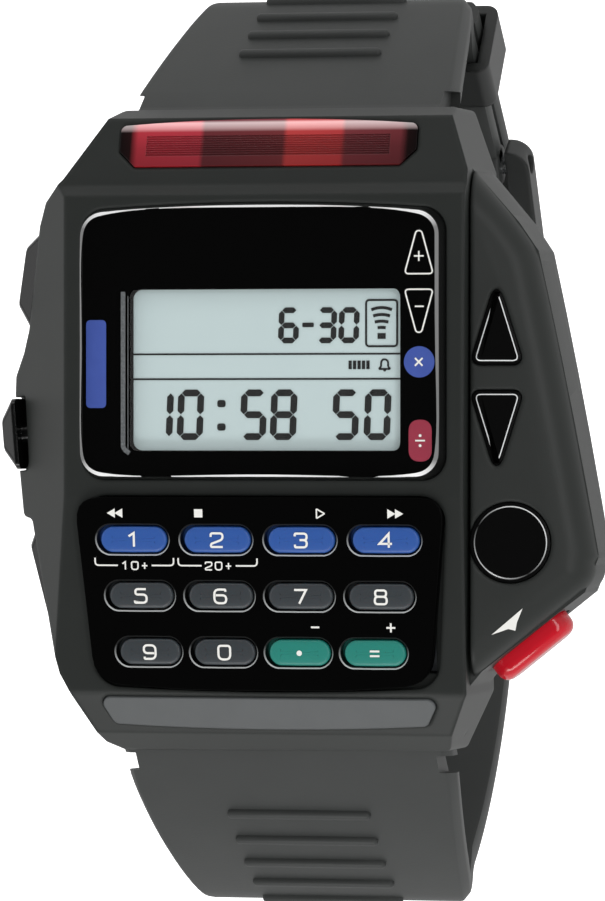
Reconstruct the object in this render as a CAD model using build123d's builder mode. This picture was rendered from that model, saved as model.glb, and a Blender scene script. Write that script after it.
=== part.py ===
from build123d import *
from math import cos, hypot, radians, sin
import os

os.makedirs("parts", exist_ok=True)

# Calculator wrist watch with a remote-control wing, buckled into its loop.
# Millimetres. The origin is the middle of the case back's outer face, +Z out of
# the display, +Y towards twelve o'clock, +X towards the wing at three o'clock.

# Driving sizes of the case, its half width and half length share the outline
case_half_length = 24.0
case_half_width = 20.5
wing_overhang = 3.3
wing_reach = case_half_width + wing_overhang
ridge_share = 0.7268
ridge_half_width = ridge_share * case_half_width
ridge_height = 11.5
crystal_height = 13.0
body_underside = 0.5
side_height = 4.9
bevel_step = 0.7
flank_foot = 2.0
overrun = 2.0
sheet_gap = 0.05
slide_gap = 0.12

# Screwed steel back and the sealed room above it
back_half_width = 13.8
back_half_length = 18.3
back_thickness = 0.9
back_corner = 2.2
back_screw_half_x = 12.0
back_screw_half_y = 16.8
back_screw_radius = 0.7
back_screw_head = 1.3
back_screw_head_depth = 0.5
back_screw_length = 4.2
back_screw_slot = 0.35
room_half_width = 11.9
room_top_y = 15.0
room_bottom_y = -17.0
room_corner = 3.4
gasket_margin = 0.25
gasket_width = 0.8
gasket_thickness = 0.7
module_gap = 0.1
cradle_base = 1.0
board_floor = 6.4
board_thickness = 0.8
deck_underside = 9.5
back_chamfer = 0.25

# Module in the room: cradle, battery, board and what stands on it
notch_reach = 1.2
notch_depth = 3.3
notch_width = 3.0
battery_x = 0.5
battery_y = 0.5
battery_radius = 10.0
battery_base = 1.6
battery_thickness = 3.2
battery_round = 0.4
clip_strap_width = 4.0
chip_place = (0.0, 5.4)
chip_size = 5.6
chip_height = 0.8
chip_well_width = 16.0
chip_well_length = 9.0
quartz_place = (-7.0, 8.4)
quartz_radius = 0.55
quartz_length = 4.0
zebra_top_y = 11.5
zebra_bottom_y = -1.2
zebra_length = 20.0
zebra_width = 1.0
leaf_drop = 0.8
leaf_width = 1.6
leaf_thickness = 0.2

# Crystal: slanted block with a bowed twelve o'clock edge
crystal_half_width = 13.6
crystal_top_half = 13.35
crystal_top_y = 16.1
crystal_bottom_y = -3.47
crystal_bow = 0.55
crystal_corner = 1.8
crystal_seat = 10.8
crystal_edge = 1.4
glass_gasket = 0.3
glass_bevel = 0.25

# Display under the crystal
window_left = -9.8
window_right = 10.3
window_top = 10.35
window_bottom = -1.34
window_corner = 0.7
mask_thickness = 0.2
lcd_half_width = 11.1
lcd_top_y = 12.2
lcd_bottom_y = -1.9
lcd_thickness = 1.2
lcd_polariser = 0.2
polariser_edge = 0.5
reflector_thickness = 0.2

# Keypad panel, which falls away towards six o'clock
panel_top_y = -4.7
panel_bottom_y = -18.5
panel_top_half = 13.6
panel_bottom_half = 12.75
panel_top_height = 12.0
panel_bottom_height = 10.45
panel_bow = 0.4
panel_corner = 1.9
panel_thickness = 1.0
panel_bevel = 0.15
key_proud = 0.3
key_gap = 0.1
key_flange = 0.35
key_flange_depth = 0.5
key_edge = 0.25
key_row_y = [-7.81, -11.9, -16.0]
key_row_pitch = [6.27, 5.97, 5.6]
key_row_width = [5.13, 4.95, 4.71]
key_height = 2.08
key_names = [
    ["key_1", "key_2", "key_3", "key_4"],
    ["key_5", "key_6", "key_7", "key_8"],
    ["key_9", "key_0", "key_point", "key_equals"],
]
mat_thickness = 0.7
mat_pillar_radius = 0.8
mat_contact_gap = 0.3

# Twelve o'clock end: sloped face with the infrared window
block_start_y = 17.9
block_end_y = 22.9
block_start_height = 10.8
block_end_height = 9.2
ir_half_width = 11.1
ir_bottom_y = 19.3
ir_top_y = 22.3
ir_bow = 0.45
ir_chamfer = 1.2
ir_corner = 0.5
ir_thickness = 1.3
ir_proud = 0.15
ir_groove_count = 9
ir_groove_width = 0.14
ir_groove_depth = 0.12
ir_shelf = 0.8
ir_pocket_depth = 2.4
emitter_radius = 0.6
emitter_length = 1.5
emitter_places = [-6.6, 3.4]
receiver_place = -1.4
receiver_width = 4.0
receiver_thickness = 1.0

# Six o'clock end: trim strip on the lower bevel
strip_start_y = -19.3
strip_end_y = -21.3
strip_top_half = 12.8
strip_bottom_half = 11.7
strip_start_height = 9.9
strip_end_height = 9.0
strip_bow = 0.35
strip_corner = 0.6
strip_thickness = 0.6
strip_proud = 0.12

# Wing: separate cover with three keys, tilted down towards its edge
wing_edge_step = 0.1
wing_inner_x = ridge_half_width + wing_edge_step
wing_root = 2.0
wing_top_height = 10.2
wing_tilt = 14.0
wing_underside = 1.8
wing_cover_thickness = 1.5
wing_seam = 0.12
wing_roll = 0.9
wing_recess_edge = 0.4
wing_recess_depth = 0.5
wing_key_gap = 0.1
wing_key_flange = 0.2
wing_key_flange_depth = 0.5
wing_key_proud = 0.2
wing_mat_thickness = 0.7
wing_mat_spot = (2.2, -0.3)
wing_mat_width = 3.4
wing_mat_length = 20.0
wing_passage_width = 6.0
wing_passage_height = 1.6
wing_passage_overlap = 1.7
wing_passage_reach = wing_inner_x - room_half_width + wing_passage_overlap
triangle_half_base = 1.5
triangle_height = 4.6
triangle_corner = 0.45
triangle_inset = 1.95
triangle_x = wing_inner_x + triangle_inset
up_key_y = 7.2
down_key_y = 0.19
source_key_inset = 2.9
source_key_x = wing_inner_x + source_key_inset
source_key_y = -7.97
source_key_radius = 2.57

# Side pushers in the case's edge. Each stem ends at its own x inside the room
pusher_height = 3.4
pusher_flat_height = 2.5
pusher_mid_height = 4.9
pusher_recess = 1.1
pusher_travel = 0.6
pusher_gap = 0.12
pusher_corner = 0.6
stem_radius = 0.7
stem_gap = 0.05
clip_radius = 1.25
clip_thickness = 0.3
clip_groove_depth = 0.2
clip_mouth = 0.9
seal_radius = 1.15
seal_thickness = 0.7
pusher_names = ["set_pusher", "select_pusher", "mode_pusher", "power_pusher"]
pusher_x_shares = [-0.9, -0.9854, -0.8317, 0.771]
pusher_y_shares = [0.4708, -0.00625, -0.5042, -0.6292]
pusher_angles = [172.0, 184.7, 194.75, -51.3]
pusher_lengths = [7.3, 5.2, 10.8, 6.7]
pusher_flat_lengths = [4.6, 2.6, 8.6, 5.4]
pusher_proud_heights = [1.15, 0.9, 0.9, 1.5]
stem_end_x = [10.85, 11.05, 10.75, 5.85]

# Strap: moulded in two halves that hang on spring bars
strap_thickness = 2.3
strap_barrel = 2.1
strap_lug_width = 24.1
strap_shoulder_width = 24.8
strap_loop_width = 21.8
strap_tail_width = 19.0
strap_shoulder = 0.6
strap_shoulder_z = 2.0
strap_loop_z = -8.8
strap_tail_z = -17.0
shoulder_swing_radius = 3.0
upper_bar_y = 21.6
upper_bar_z = 3.2
lower_bar_y = -21.6
lower_bar_z = 3.6
upper_heading = -56.0
lower_heading = -142.0
strap_low_point = -35.0
bar_radius = 0.75
bar_pivot_radius = 0.4
bar_pivot_length = 1.0
bar_end_gap = 0.1
lug_gap = 0.05
slot_gap = 0.25
bar_half_length = strap_lug_width / 2 + slot_gap - bar_end_gap
slot_reach = 19.2
rib_length = 10.9
rib_width = 0.8
rib_height = 0.45
rib_pitch = 3.1
upper_rib_reach = 8.9
lower_rib_reach = 7.1
rib_count = 5
upper_rib_count = 4
tail_gap = 0.1
tail_hole_length = 3.2
tail_hole_width = 2.6
tail_hole_pitch = 6.0
tail_hole_count = 6

# Loop path of each half: arcs by radius and turn in degrees, then a straight run
upper_radii = [130.0, 5.0]
upper_turn_angles = [-7.6, -66.4]
upper_straight_length = 14.5
lower_radii = [40.0, 6.0]
lower_turn_angles = [26.5, 52.5]
tail_rise_angle = 10.0
tail_wrap_radius = 6.0
tail_end_before_bend = 0.4

tail_tip_round = 5.0
tang_hole_station = 3.2
tang_slot_length = 4.4

# Buckle, tang and keeper
buckle_pin_radius = 0.75
buckle_barrel = 1.6
buckle_arm_width = 1.8
buckle_arm_half_depth = 1.1
buckle_bar_radius = 1.0
buckle_bar_gap = 0.15
buckle_side_gap = 0.5
buckle_edge = 0.35
buckle_bar_station = 16.0
tang_width = 2.1
tang_thickness = 1.0
tang_barrel = 1.4
tang_slot_gap = 0.2
tang_bar_gap = 0.4
tang_groove = 0.45
tang_bend = 1.3
tang_tip = 1.8
keeper_length = 4.0
keeper_wall = 0.9
keeper_gap = 0.2
keeper_travel = 1.2
keeper_corner = 1.0


def write(part, name):
    """Label a finished piece and write it as its own file."""
    part.label = name
    export_step(part, f"parts/{name}.step")


def bowed_face(top_half, bottom_half, top, bottom, top_bow, bottom_bow, corner):
    """Four-sided face whose twelve and six o'clock edges may bow outwards."""
    with BuildSketch() as face:
        with BuildLine():
            Line((-bottom_half, bottom), (-top_half, top))
            if top_bow:
                ThreePointArc((-top_half, top), (0, top + top_bow), (top_half, top))
            else:
                Line((-top_half, top), (top_half, top))
            Line((top_half, top), (bottom_half, bottom))
            if bottom_bow:
                ThreePointArc((bottom_half, bottom), (0, bottom - bottom_bow), (-bottom_half, bottom))
            else:
                Line((bottom_half, bottom), (-bottom_half, bottom))
        make_face()
        fillet(face.vertices(), corner)
    return face.sketch


def slope_plane(start_y, start_z, end_y, end_z):
    """Plane through a sloping edge-to-edge line, its local y running up the slope."""
    low, high = sorted([(start_y, start_z), (end_y, end_z)])
    run_y = high[0] - low[0]
    run_z = high[1] - low[1]
    length = hypot(run_y, run_z)
    normal = (0, -run_z / length, run_y / length)
    return Plane(origin=(0, low[0], low[1]), x_dir=(1, 0, 0), z_dir=normal)


def walk(start, heading, runs):
    """Stations (y, z, heading) at the ends of a path of arcs and straight runs."""
    y, z = start
    stations = [(y, z, heading)]
    for reach, turn in runs:
        angle = radians(heading)
        if turn == 0:
            y += reach * cos(angle)
            z += reach * sin(angle)
        else:
            side = 1 if turn > 0 else -1
            after = radians(heading + turn)
            y += side * reach * (sin(after) - sin(angle))
            z += side * reach * (cos(angle) - cos(after))
        heading += turn
        stations.append((y, z, heading))
    return stations


def run_length(run):
    reach, turn = run
    return reach * radians(abs(turn)) if turn else reach


def along(start, heading, runs, distance):
    """Station at a distance along a path."""
    for run in runs:
        length = run_length(run)
        if distance <= length:
            reach, turn = run
            part_run = (reach, turn * distance / length) if turn else (distance, 0)
            return walk(start, heading, [part_run])[-1] if distance else (*start, heading)
        y, z, heading = walk(start, heading, [run])[-1]
        start = (y, z)
        distance -= length
    return (*start, heading)


def band_face(start, heading, runs, left, right):
    """Side view, in (y, z), of a band that reaches left and right of a path."""
    stations = walk(start, heading, runs)
    with BuildSketch() as face:
        with BuildLine():
            ends = []
            for side in (left, -right):
                for (y, z, angle), (reach, turn) in zip(stations, runs):
                    tangent = (cos(radians(angle)), sin(radians(angle)))
                    edge = (y - side * tangent[1], z + side * tangent[0])
                    if turn == 0:
                        far = (edge[0] + reach * tangent[0], edge[1] + reach * tangent[1])
                        Line(edge, far)
                    else:
                        radius = reach - side if turn > 0 else reach + side
                        JernArc(start=edge, tangent=tangent, radius=radius, arc_size=turn)
                for y, z, angle in (stations[0], stations[-1]):
                    ends.append((y - side * sin(radians(angle)), z + side * cos(radians(angle))))
            Line(ends[0], ends[2])
            Line(ends[1], ends[3])
        make_face()
    return face.sketch


def surface_plane(station, outward, offset_out):
    """Plane on a band, its z outwards and its x across the band."""
    y, z, angle = station
    normal = (0, cos(radians(angle + outward)), sin(radians(angle + outward)))
    origin = (0, y + offset_out * normal[1], z + offset_out * normal[2])
    return Plane(origin=origin, x_dir=(1, 0, 0), z_dir=normal)


# Planes of the sloping faces
panel_plane = slope_plane(panel_top_y, panel_top_height, panel_bottom_y, panel_bottom_height)
panel_slant = hypot(panel_top_y - panel_bottom_y, panel_top_height - panel_bottom_height)
panel_stretch = panel_slant / (panel_top_y - panel_bottom_y)
block_plane = Plane(
    origin=(0, block_start_y, block_start_height),
    x_dir=(1, 0, 0),
    z_dir=(0, block_start_height - block_end_height, block_end_y - block_start_y),
)
block_stretch = hypot(block_end_y - block_start_y, block_start_height - block_end_height) / (
    block_end_y - block_start_y
)
strip_plane = slope_plane(strip_start_y, strip_start_height, strip_end_y, strip_end_height)
strip_slant = hypot(strip_start_y - strip_end_y, strip_start_height - strip_end_height)
wing_plane = Plane(
    origin=(wing_inner_x, 0, wing_top_height),
    x_dir=(cos(radians(wing_tilt)), 0, -sin(radians(wing_tilt))),
    z_dir=(sin(radians(wing_tilt)), 0, cos(radians(wing_tilt))),
)
wing_seat_plane = wing_plane.offset(-wing_cover_thickness)


def wing_spot(x, y):
    """Place on the tilted wing for a place seen from straight above."""
    return ((x - wing_inner_x) / cos(radians(wing_tilt)), y)


def triangle_face(upward, grow):
    """Rounded triangle of a wing key, seen from outside."""
    side = 1 if upward else -1
    half = triangle_half_base + grow
    tall = triangle_height / 2 + grow
    with BuildSketch() as face:
        with BuildLine():
            Polyline((-half, -side * tall), (half, -side * tall), (0, side * tall), close=True)
        make_face()
        fillet(face.vertices(), triangle_corner)
    return face.sketch


def round_face(grow):
    with BuildSketch() as face:
        Circle(source_key_radius + grow)
    return face.sketch


def wing_key_face(name, grow):
    if name == "source_key":
        return round_face(grow)
    return triangle_face(name == "volume_up_key", grow)


wing_key_spots = {
    "volume_up_key": wing_spot(triangle_x, up_key_y),
    "volume_down_key": wing_spot(triangle_x, down_key_y),
    "source_key": wing_spot(source_key_x, source_key_y),
}


# Case body. The outline is drawn as shares of the half width and half length
left_outline_shares = [
    (-0.57, 0.985), (-0.745, 0.767), (-0.829, 0.70), (-0.862, 0.629), (-0.922, 0.3125),
    (-0.951, 0.242), (-0.995, 0.171), (-0.998, 0.117), (-0.976, -0.1125), (-0.951, -0.258),
    (-0.905, -0.267), (-0.762, -0.735), (-0.63, -0.948), (-0.57, -0.975),
]
right_outline_shares = [
    (0.622, -0.967), (0.72, -0.79), (0.73, 0.79), (0.649, 0.985),
]
wing_upper_shares = [(0.58, 0.79), (0.622, 0.80), (0.764, 0.633), (0.822, 0.546)]
wing_bulge_share = (0.906, 0.142)
wing_lower_shares = [
    (1.0, -0.375), (0.958, -0.483), (0.655, -0.721), (0.605, -0.783), (0.58, -0.79),
]
wing_round = 1.2
outline_round = 0.5


def case_outline():
    points = [
        (x * case_half_width, y * case_half_length)
        for x, y in left_outline_shares + right_outline_shares
    ]
    with BuildSketch() as face:
        with BuildLine():
            Polyline(*points, close=True)
        make_face()
        fillet(face.vertices(), outline_round)
    return face.sketch


def wing_outline(inner_x, inset):
    """Plan of the wing outwards of a given x, its outer edge one long curve."""
    upper, bulge, lower = (
        [(x * wing_reach, y * case_half_length) for x, y in shares]
        for shares in (wing_upper_shares, [wing_bulge_share], wing_lower_shares)
    )
    with BuildSketch() as face:
        with BuildLine():
            Polyline(*upper)
            ThreePointArc(upper[-1], bulge[0], lower[0])
            Polyline(*lower, upper[0])
        make_face()
        fillet(face.vertices().group_by(Axis.X, tol_digits=0)[-1], wing_round)
        if inset:
            offset(amount=-inset, kind=Kind.INTERSECTION)
        with Locations((inner_x - wing_reach, 0)):
            Rectangle(2 * wing_reach, 4 * case_half_length, mode=Mode.SUBTRACT)
    return face.sketch


def room_face(grow):
    """Plan of the sealed room with its cut corners, grown or shrunk."""
    with BuildSketch() as face:
        with Locations((0, (room_top_y + room_bottom_y) / 2)):
            Rectangle(2 * room_half_width, room_top_y - room_bottom_y)
        chamfer(face.vertices(), room_corner)
        if grow:
            offset(amount=grow, kind=Kind.INTERSECTION)
    return face.sketch


def back_face(grow):
    with BuildSketch() as face:
        RectangleRounded(2 * (back_half_width + grow), 2 * (back_half_length + grow), back_corner)
    return face.sketch


def crystal_face(grow, half_width):
    return bowed_face(
        half_width + grow, half_width + grow, crystal_top_y + grow,
        crystal_bottom_y - grow, crystal_bow, 0, crystal_corner,
    )


def panel_face(grow):
    """Keypad panel seen square on, its lower edge on the local x axis."""
    return bowed_face(
        panel_top_half + grow, panel_bottom_half + grow, panel_slant + grow,
        -grow, 0, panel_bow, panel_corner,
    )


def ir_face(grow):
    """Infrared window on the block's slope, measured from the slope's start."""
    bottom = (ir_bottom_y - block_start_y) * block_stretch - grow
    top = (ir_top_y - block_start_y) * block_stretch + grow
    half = ir_half_width + grow
    with BuildSketch() as face:
        with BuildLine():
            ThreePointArc((half, top), (0, top + ir_bow), (-half, top))
            Polyline(
                (-half, top), (-half, bottom + ir_chamfer), (-half + ir_chamfer, bottom),
                (half - ir_chamfer, bottom), (half, bottom + ir_chamfer), (half, top),
            )
        make_face()
        fillet(face.vertices().group_by(Axis.Y)[-1], ir_corner)
    return face.sketch


def strip_face(grow):
    """Trim strip seen square on, its lower edge on the local x axis."""
    return bowed_face(
        strip_top_half + grow, strip_bottom_half + grow, strip_slant + grow,
        -grow, 0, strip_bow, strip_corner,
    )


pusher_spots = {}
for index, name in enumerate(pusher_names):
    half_width = wing_reach if pusher_x_shares[index] > 0 else case_half_width
    pusher_x = pusher_x_shares[index] * half_width
    pusher_spots[name] = (
        pusher_x, pusher_y_shares[index] * case_half_length, pusher_angles[index],
        pusher_lengths[index], pusher_flat_lengths[index], pusher_proud_heights[index],
        abs(pusher_x) - stem_end_x[index],
    )


def pusher_plane(name):
    x, y, angle = pusher_spots[name][:3]
    normal = (cos(radians(angle)), sin(radians(angle)), 0)
    return Plane(origin=(x, y, pusher_mid_height), x_dir=(0, 0, 1), z_dir=normal)


def key_spots():
    """Each keypad key's name with its place and width on the panel."""
    spots = {}
    for row, names in enumerate(key_names):
        for column, name in enumerate(names):
            x = (column - (len(names) - 1) / 2) * key_row_pitch[row]
            y = (key_row_y[row] - panel_bottom_y) * panel_stretch
            spots[name] = (x, y, key_row_width[row])
    return spots


mat_top = panel_thickness + sheet_gap + key_flange_depth + sheet_gap
mat_bottom = mat_top + mat_thickness
pocket_margin = key_flange + 2 * key_gap
pocket_half_width = 1.5 * key_row_pitch[0] + key_row_width[0] / 2 + pocket_margin
pocket_low = (key_row_y[-1] - panel_bottom_y) * panel_stretch - key_height / 2 - pocket_margin
pocket_high = (key_row_y[0] - panel_bottom_y) * panel_stretch + key_height / 2 + pocket_margin
mask_top = crystal_seat - glass_gasket - sheet_gap
lcd_top = mask_top - mask_thickness - sheet_gap
lcd_bottom = lcd_top - lcd_thickness
opening_half_width = crystal_half_width - crystal_edge
opening_top_y = crystal_top_y - crystal_edge
opening_bottom_y = crystal_bottom_y + crystal_edge
wing_mat_top = sheet_gap + wing_key_flange_depth + sheet_gap
wing_pocket_depth = wing_mat_top + wing_mat_thickness + sheet_gap
body_reach = wing_reach + overrun
ir_middle = ((ir_bottom_y + ir_top_y) / 2 - block_start_y) * block_stretch
ir_pocket_half = ir_half_width - ir_chamfer - ir_shelf
ir_pocket_length = ir_top_y - ir_bottom_y - 2 * ir_shelf

with BuildPart() as wing_block:
    with BuildSketch(Plane.XY.offset(wing_underside)):
        add(wing_outline(ridge_half_width - wing_root, 0))
    extrude(amount=wing_top_height)
    split(bisect_by=wing_seat_plane, keep=Keep.BOTTOM)

with BuildPart() as case_body:
    with BuildSketch(Plane.XY.offset(body_underside)):
        add(case_outline())
    extrude(amount=ridge_height - body_underside)
    with BuildSketch(Plane.YZ.offset(-body_reach)):
        with BuildLine():
            Polyline(
                (-case_half_length, 0), (-case_half_length, side_height),
                (strip_end_y - bevel_step, strip_end_height - bevel_step),
                (strip_start_y, strip_start_height),
                (panel_bottom_y - panel_bow, panel_bottom_height - panel_bow),
                (panel_top_y, ridge_height), (block_start_y - bevel_step, ridge_height),
                (block_start_y, block_start_height), (block_end_y, block_end_height),
                (case_half_length, side_height), (case_half_length, 0), close=True,
            )
        make_face()
    extrude(amount=2 * body_reach, mode=Mode.INTERSECT)
    with BuildSketch(Plane.XZ.offset(-body_reach)):
        with BuildLine():
            Polyline(
                (-case_half_width + flank_foot, body_underside),
                (-case_half_width, body_underside + flank_foot),
                (-case_half_width, side_height), (-ridge_half_width, ridge_height),
                (ridge_half_width, ridge_height), (body_reach, ridge_height),
                (body_reach, body_underside), close=True,
            )
        make_face()
    extrude(amount=2 * body_reach, mode=Mode.INTERSECT)
    add(wing_block.part)
    # Recess for the back plate, gasket groove and the sealed room
    with BuildSketch(Plane.XY.offset(back_thickness)):
        add(back_face(sheet_gap))
    extrude(amount=-overrun, mode=Mode.SUBTRACT)
    with BuildSketch(Plane.XY.offset(back_thickness)):
        add(room_face(gasket_margin + gasket_width))
        add(room_face(gasket_margin), mode=Mode.SUBTRACT)
    extrude(amount=gasket_thickness, mode=Mode.SUBTRACT)
    with BuildSketch(Plane.XY.offset(back_thickness)):
        add(room_face(0))
    extrude(amount=deck_underside - back_thickness, mode=Mode.SUBTRACT)
    # Display opening and the crystal's seat above it
    with BuildSketch(Plane.XY.offset(deck_underside)):
        with Locations((0, (opening_top_y + opening_bottom_y) / 2)):
            Rectangle(2 * opening_half_width, opening_top_y - opening_bottom_y)
    extrude(amount=overrun, mode=Mode.SUBTRACT)
    with BuildSketch(Plane.XY.offset(crystal_seat - glass_gasket)):
        add(crystal_face(sheet_gap, crystal_half_width))
    extrude(amount=overrun, mode=Mode.SUBTRACT)
    # Keypad panel's seat and the pocket of its rubber mat
    with BuildSketch(panel_plane.offset(-panel_thickness)):
        add(panel_face(sheet_gap))
    extrude(amount=overrun, mode=Mode.SUBTRACT)
    with BuildSketch(panel_plane.offset(-mat_bottom)):
        with Locations((0, (pocket_low + pocket_high) / 2)):
            Rectangle(2 * pocket_half_width, pocket_high - pocket_low)
    extrude(amount=mat_bottom, mode=Mode.SUBTRACT)
    # Infrared window's seat and the pocket of its diodes
    with BuildSketch(block_plane.offset(ir_proud - ir_thickness)):
        add(ir_face(sheet_gap))
    extrude(amount=overrun, mode=Mode.SUBTRACT)
    with BuildSketch(block_plane.offset(ir_proud - ir_thickness)):
        with Locations((0, ir_middle)):
            Rectangle(2 * ir_pocket_half, ir_pocket_length)
    extrude(amount=-ir_pocket_depth, mode=Mode.SUBTRACT)
    # Trim strip's seat
    with BuildSketch(strip_plane.offset(strip_proud - strip_thickness)):
        add(strip_face(sheet_gap))
    extrude(amount=overrun, mode=Mode.SUBTRACT)
    # Strap slots between the lugs, with the spring bars' pivot holes
    for bar_y, bar_z in ((upper_bar_y, upper_bar_z), (lower_bar_y, lower_bar_z)):
        side = 1 if bar_y > 0 else -1
        ceiling = bar_z + strap_barrel + slot_gap
        with BuildSketch(Plane.XY.offset(ceiling)):
            with Locations((0, side * (slot_reach + overrun + slot_reach / 4))):
                Rectangle(strap_lug_width + 2 * slot_gap, 2 * overrun + slot_reach / 2)
        extrude(amount=-ceiling - overrun, mode=Mode.SUBTRACT)
        with BuildSketch(Plane.YZ.offset(-bar_half_length - bar_pivot_length)):
            with Locations((bar_y, bar_z)):
                Circle(bar_pivot_radius + lug_gap)
        extrude(amount=2 * (bar_half_length + bar_pivot_length), mode=Mode.SUBTRACT)
    # Pockets and bores of the side pushers
    for name, (_, _, _, length, _, _, reach) in pusher_spots.items():
        plane = pusher_plane(name)
        with BuildSketch(plane.offset(-pusher_recess)):
            RectangleRounded(
                pusher_height + 2 * pusher_gap, length + 2 * pusher_gap, pusher_corner
            )
        extrude(amount=pusher_recess + overrun, mode=Mode.SUBTRACT)
        with BuildSketch(plane.offset(-pusher_recess)):
            Circle(seal_radius + sheet_gap)
        extrude(amount=-seal_thickness - 2 * sheet_gap, mode=Mode.SUBTRACT)
        with BuildSketch(plane.offset(-pusher_recess)):
            Circle(stem_radius + stem_gap)
        extrude(amount=pusher_recess - reach, mode=Mode.SUBTRACT)
    # Pocket of the wing keys' mat, with a passage to the board in the room
    with BuildSketch(wing_seat_plane):
        for key_name, spot in wing_key_spots.items():
            with Locations(spot):
                add(wing_key_face(key_name, wing_key_flange + wing_key_gap))
        with Locations(wing_mat_spot):
            Rectangle(wing_mat_width, wing_mat_length)
    extrude(amount=-wing_pocket_depth, mode=Mode.SUBTRACT)
    with BuildSketch(Plane.XY.offset(board_floor)):
        with Locations((room_half_width + wing_passage_reach / 2, wing_mat_spot[1])):
            Rectangle(wing_passage_reach, wing_passage_width)
    extrude(amount=wing_passage_height, mode=Mode.SUBTRACT)
    # Back screws' pilot holes
    with BuildSketch(Plane.XY.offset(back_thickness)):
        with GridLocations(2 * back_screw_half_x, 2 * back_screw_half_y, 2, 2):
            Circle(back_screw_radius)
    extrude(amount=back_screw_length, mode=Mode.SUBTRACT)
write(case_body.part, "case_body")


# Steel back plate with its four screws and the gasket it presses
with BuildPart() as case_back:
    with BuildSketch():
        add(back_face(0))
    extrude(amount=back_thickness - sheet_gap)
    chamfer(case_back.faces().sort_by(Axis.Z)[0].edges(), back_chamfer)
    with GridLocations(2 * back_screw_half_x, 2 * back_screw_half_y, 2, 2):
        Hole(back_screw_radius + sheet_gap)
    with BuildSketch():
        with GridLocations(2 * back_screw_half_x, 2 * back_screw_half_y, 2, 2):
            Circle(back_screw_head + sheet_gap)
    extrude(amount=back_screw_head_depth, mode=Mode.SUBTRACT)
write(case_back.part, "case_back")

with BuildPart() as case_back_screws:
    with BuildSketch():
        with GridLocations(2 * back_screw_half_x, 2 * back_screw_half_y, 2, 2):
            Circle(back_screw_head)
    extrude(amount=back_screw_head_depth - sheet_gap)
    with BuildSketch():
        with GridLocations(2 * back_screw_half_x, 2 * back_screw_half_y, 2, 2):
            Circle(back_screw_radius - sheet_gap)
    extrude(amount=back_thickness + back_screw_length - sheet_gap)
    with BuildSketch():
        with GridLocations(2 * back_screw_half_x, 2 * back_screw_half_y, 2, 2):
            Rectangle(2 * back_screw_head, back_screw_slot)
            Rectangle(back_screw_slot, 2 * back_screw_head)
        with GridLocations(2 * back_screw_half_x, 2 * back_screw_half_y, 2, 2):
            Circle(back_screw_head - back_screw_slot, mode=Mode.INTERSECT)
    extrude(amount=back_screw_head_depth / 2, mode=Mode.SUBTRACT)
write(case_back_screws.part, "case_back_screws")

with BuildPart() as case_back_gasket:
    with BuildSketch(Plane.XY.offset(back_thickness)):
        add(room_face(gasket_margin + gasket_width - sheet_gap))
        add(room_face(gasket_margin + sheet_gap), mode=Mode.SUBTRACT)
    extrude(amount=gasket_thickness - sheet_gap)
write(case_back_gasket.part, "case_back_gasket")


# Module: cradle with the battery, board, display frame
def pusher_notches():
    """Plan of the room that each stem, clip and contact leaf needs."""
    with BuildSketch() as face:
        for x, y, angle, _, _, _, reach in pusher_spots.values():
            middle = reach - notch_depth / 2 + notch_reach / 2
            spot = (x - middle * cos(radians(angle)), y - middle * sin(radians(angle)))
            with Locations(Location((spot[0], spot[1], 0), (0, 0, angle))):
                Rectangle(notch_depth + notch_reach, notch_width)
    return face.sketch


with BuildPart() as battery_cradle:
    with BuildSketch(Plane.XY.offset(cradle_base)):
        add(room_face(-module_gap))
        with Locations((battery_x, battery_y)):
            Circle(battery_radius + module_gap, mode=Mode.SUBTRACT)
        add(pusher_notches(), mode=Mode.SUBTRACT)
    extrude(amount=board_floor - sheet_gap - cradle_base)
write(battery_cradle.part, "battery_cradle")

with BuildPart() as battery:
    with BuildSketch(Plane.XY.offset(battery_base)):
        with Locations((battery_x, battery_y)):
            Circle(battery_radius)
    extrude(amount=battery_thickness)
    fillet(battery.edges().group_by(Axis.Z)[0], battery_round)
    with BuildSketch(Plane.XY.offset(battery_base + battery_thickness)):
        with Locations((battery_x, battery_y)):
            Circle(battery_radius - battery_round)
            Circle(battery_radius - 2 * battery_round, mode=Mode.SUBTRACT)
    extrude(amount=-battery_round / 2, mode=Mode.SUBTRACT)
write(battery.part, "battery")

with BuildPart() as battery_clip:
    with BuildSketch(Plane.XY.offset(cradle_base)):
        with Locations((battery_x, battery_y)):
            Rectangle(2 * battery_radius - 4 * module_gap, clip_strap_width)
            Circle(clip_strap_width)
            Circle(clip_strap_width / 2, mode=Mode.SUBTRACT)
    extrude(amount=battery_base - cradle_base - sheet_gap)
write(battery_clip.part, "battery_clip")

with BuildPart() as battery_contact:
    with BuildSketch(Plane.XY.offset(battery_base + battery_thickness + sheet_gap)):
        with Locations((battery_x, battery_y)):
            SlotOverall(battery_radius, clip_strap_width)
    extrude(amount=board_floor - battery_base - battery_thickness - 2 * sheet_gap)
write(battery_contact.part, "battery_contact")

with BuildPart() as circuit_board:
    with BuildSketch(Plane.XY.offset(board_floor)):
        add(room_face(-module_gap))
    extrude(amount=board_thickness)
write(circuit_board.part, "circuit_board")

board_top = board_floor + board_thickness

with BuildPart() as controller_chip:
    with BuildSketch(Plane.XY.offset(board_top)):
        with Locations(chip_place):
            Rectangle(chip_size, chip_size)
    extrude(amount=chip_height)
    chamfer(controller_chip.faces().sort_by(Axis.Z)[-1].edges(), chip_height / 4)
write(controller_chip.part, "controller_chip")

with BuildPart() as quartz_can:
    with BuildSketch(Plane.YZ.offset(quartz_place[0])):
        with Locations((quartz_place[1], board_top + quartz_radius)):
            Circle(quartz_radius)
    extrude(amount=quartz_length)
    fillet(quartz_can.edges(), quartz_radius / 4)
write(quartz_can.part, "quartz_can")

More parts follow.
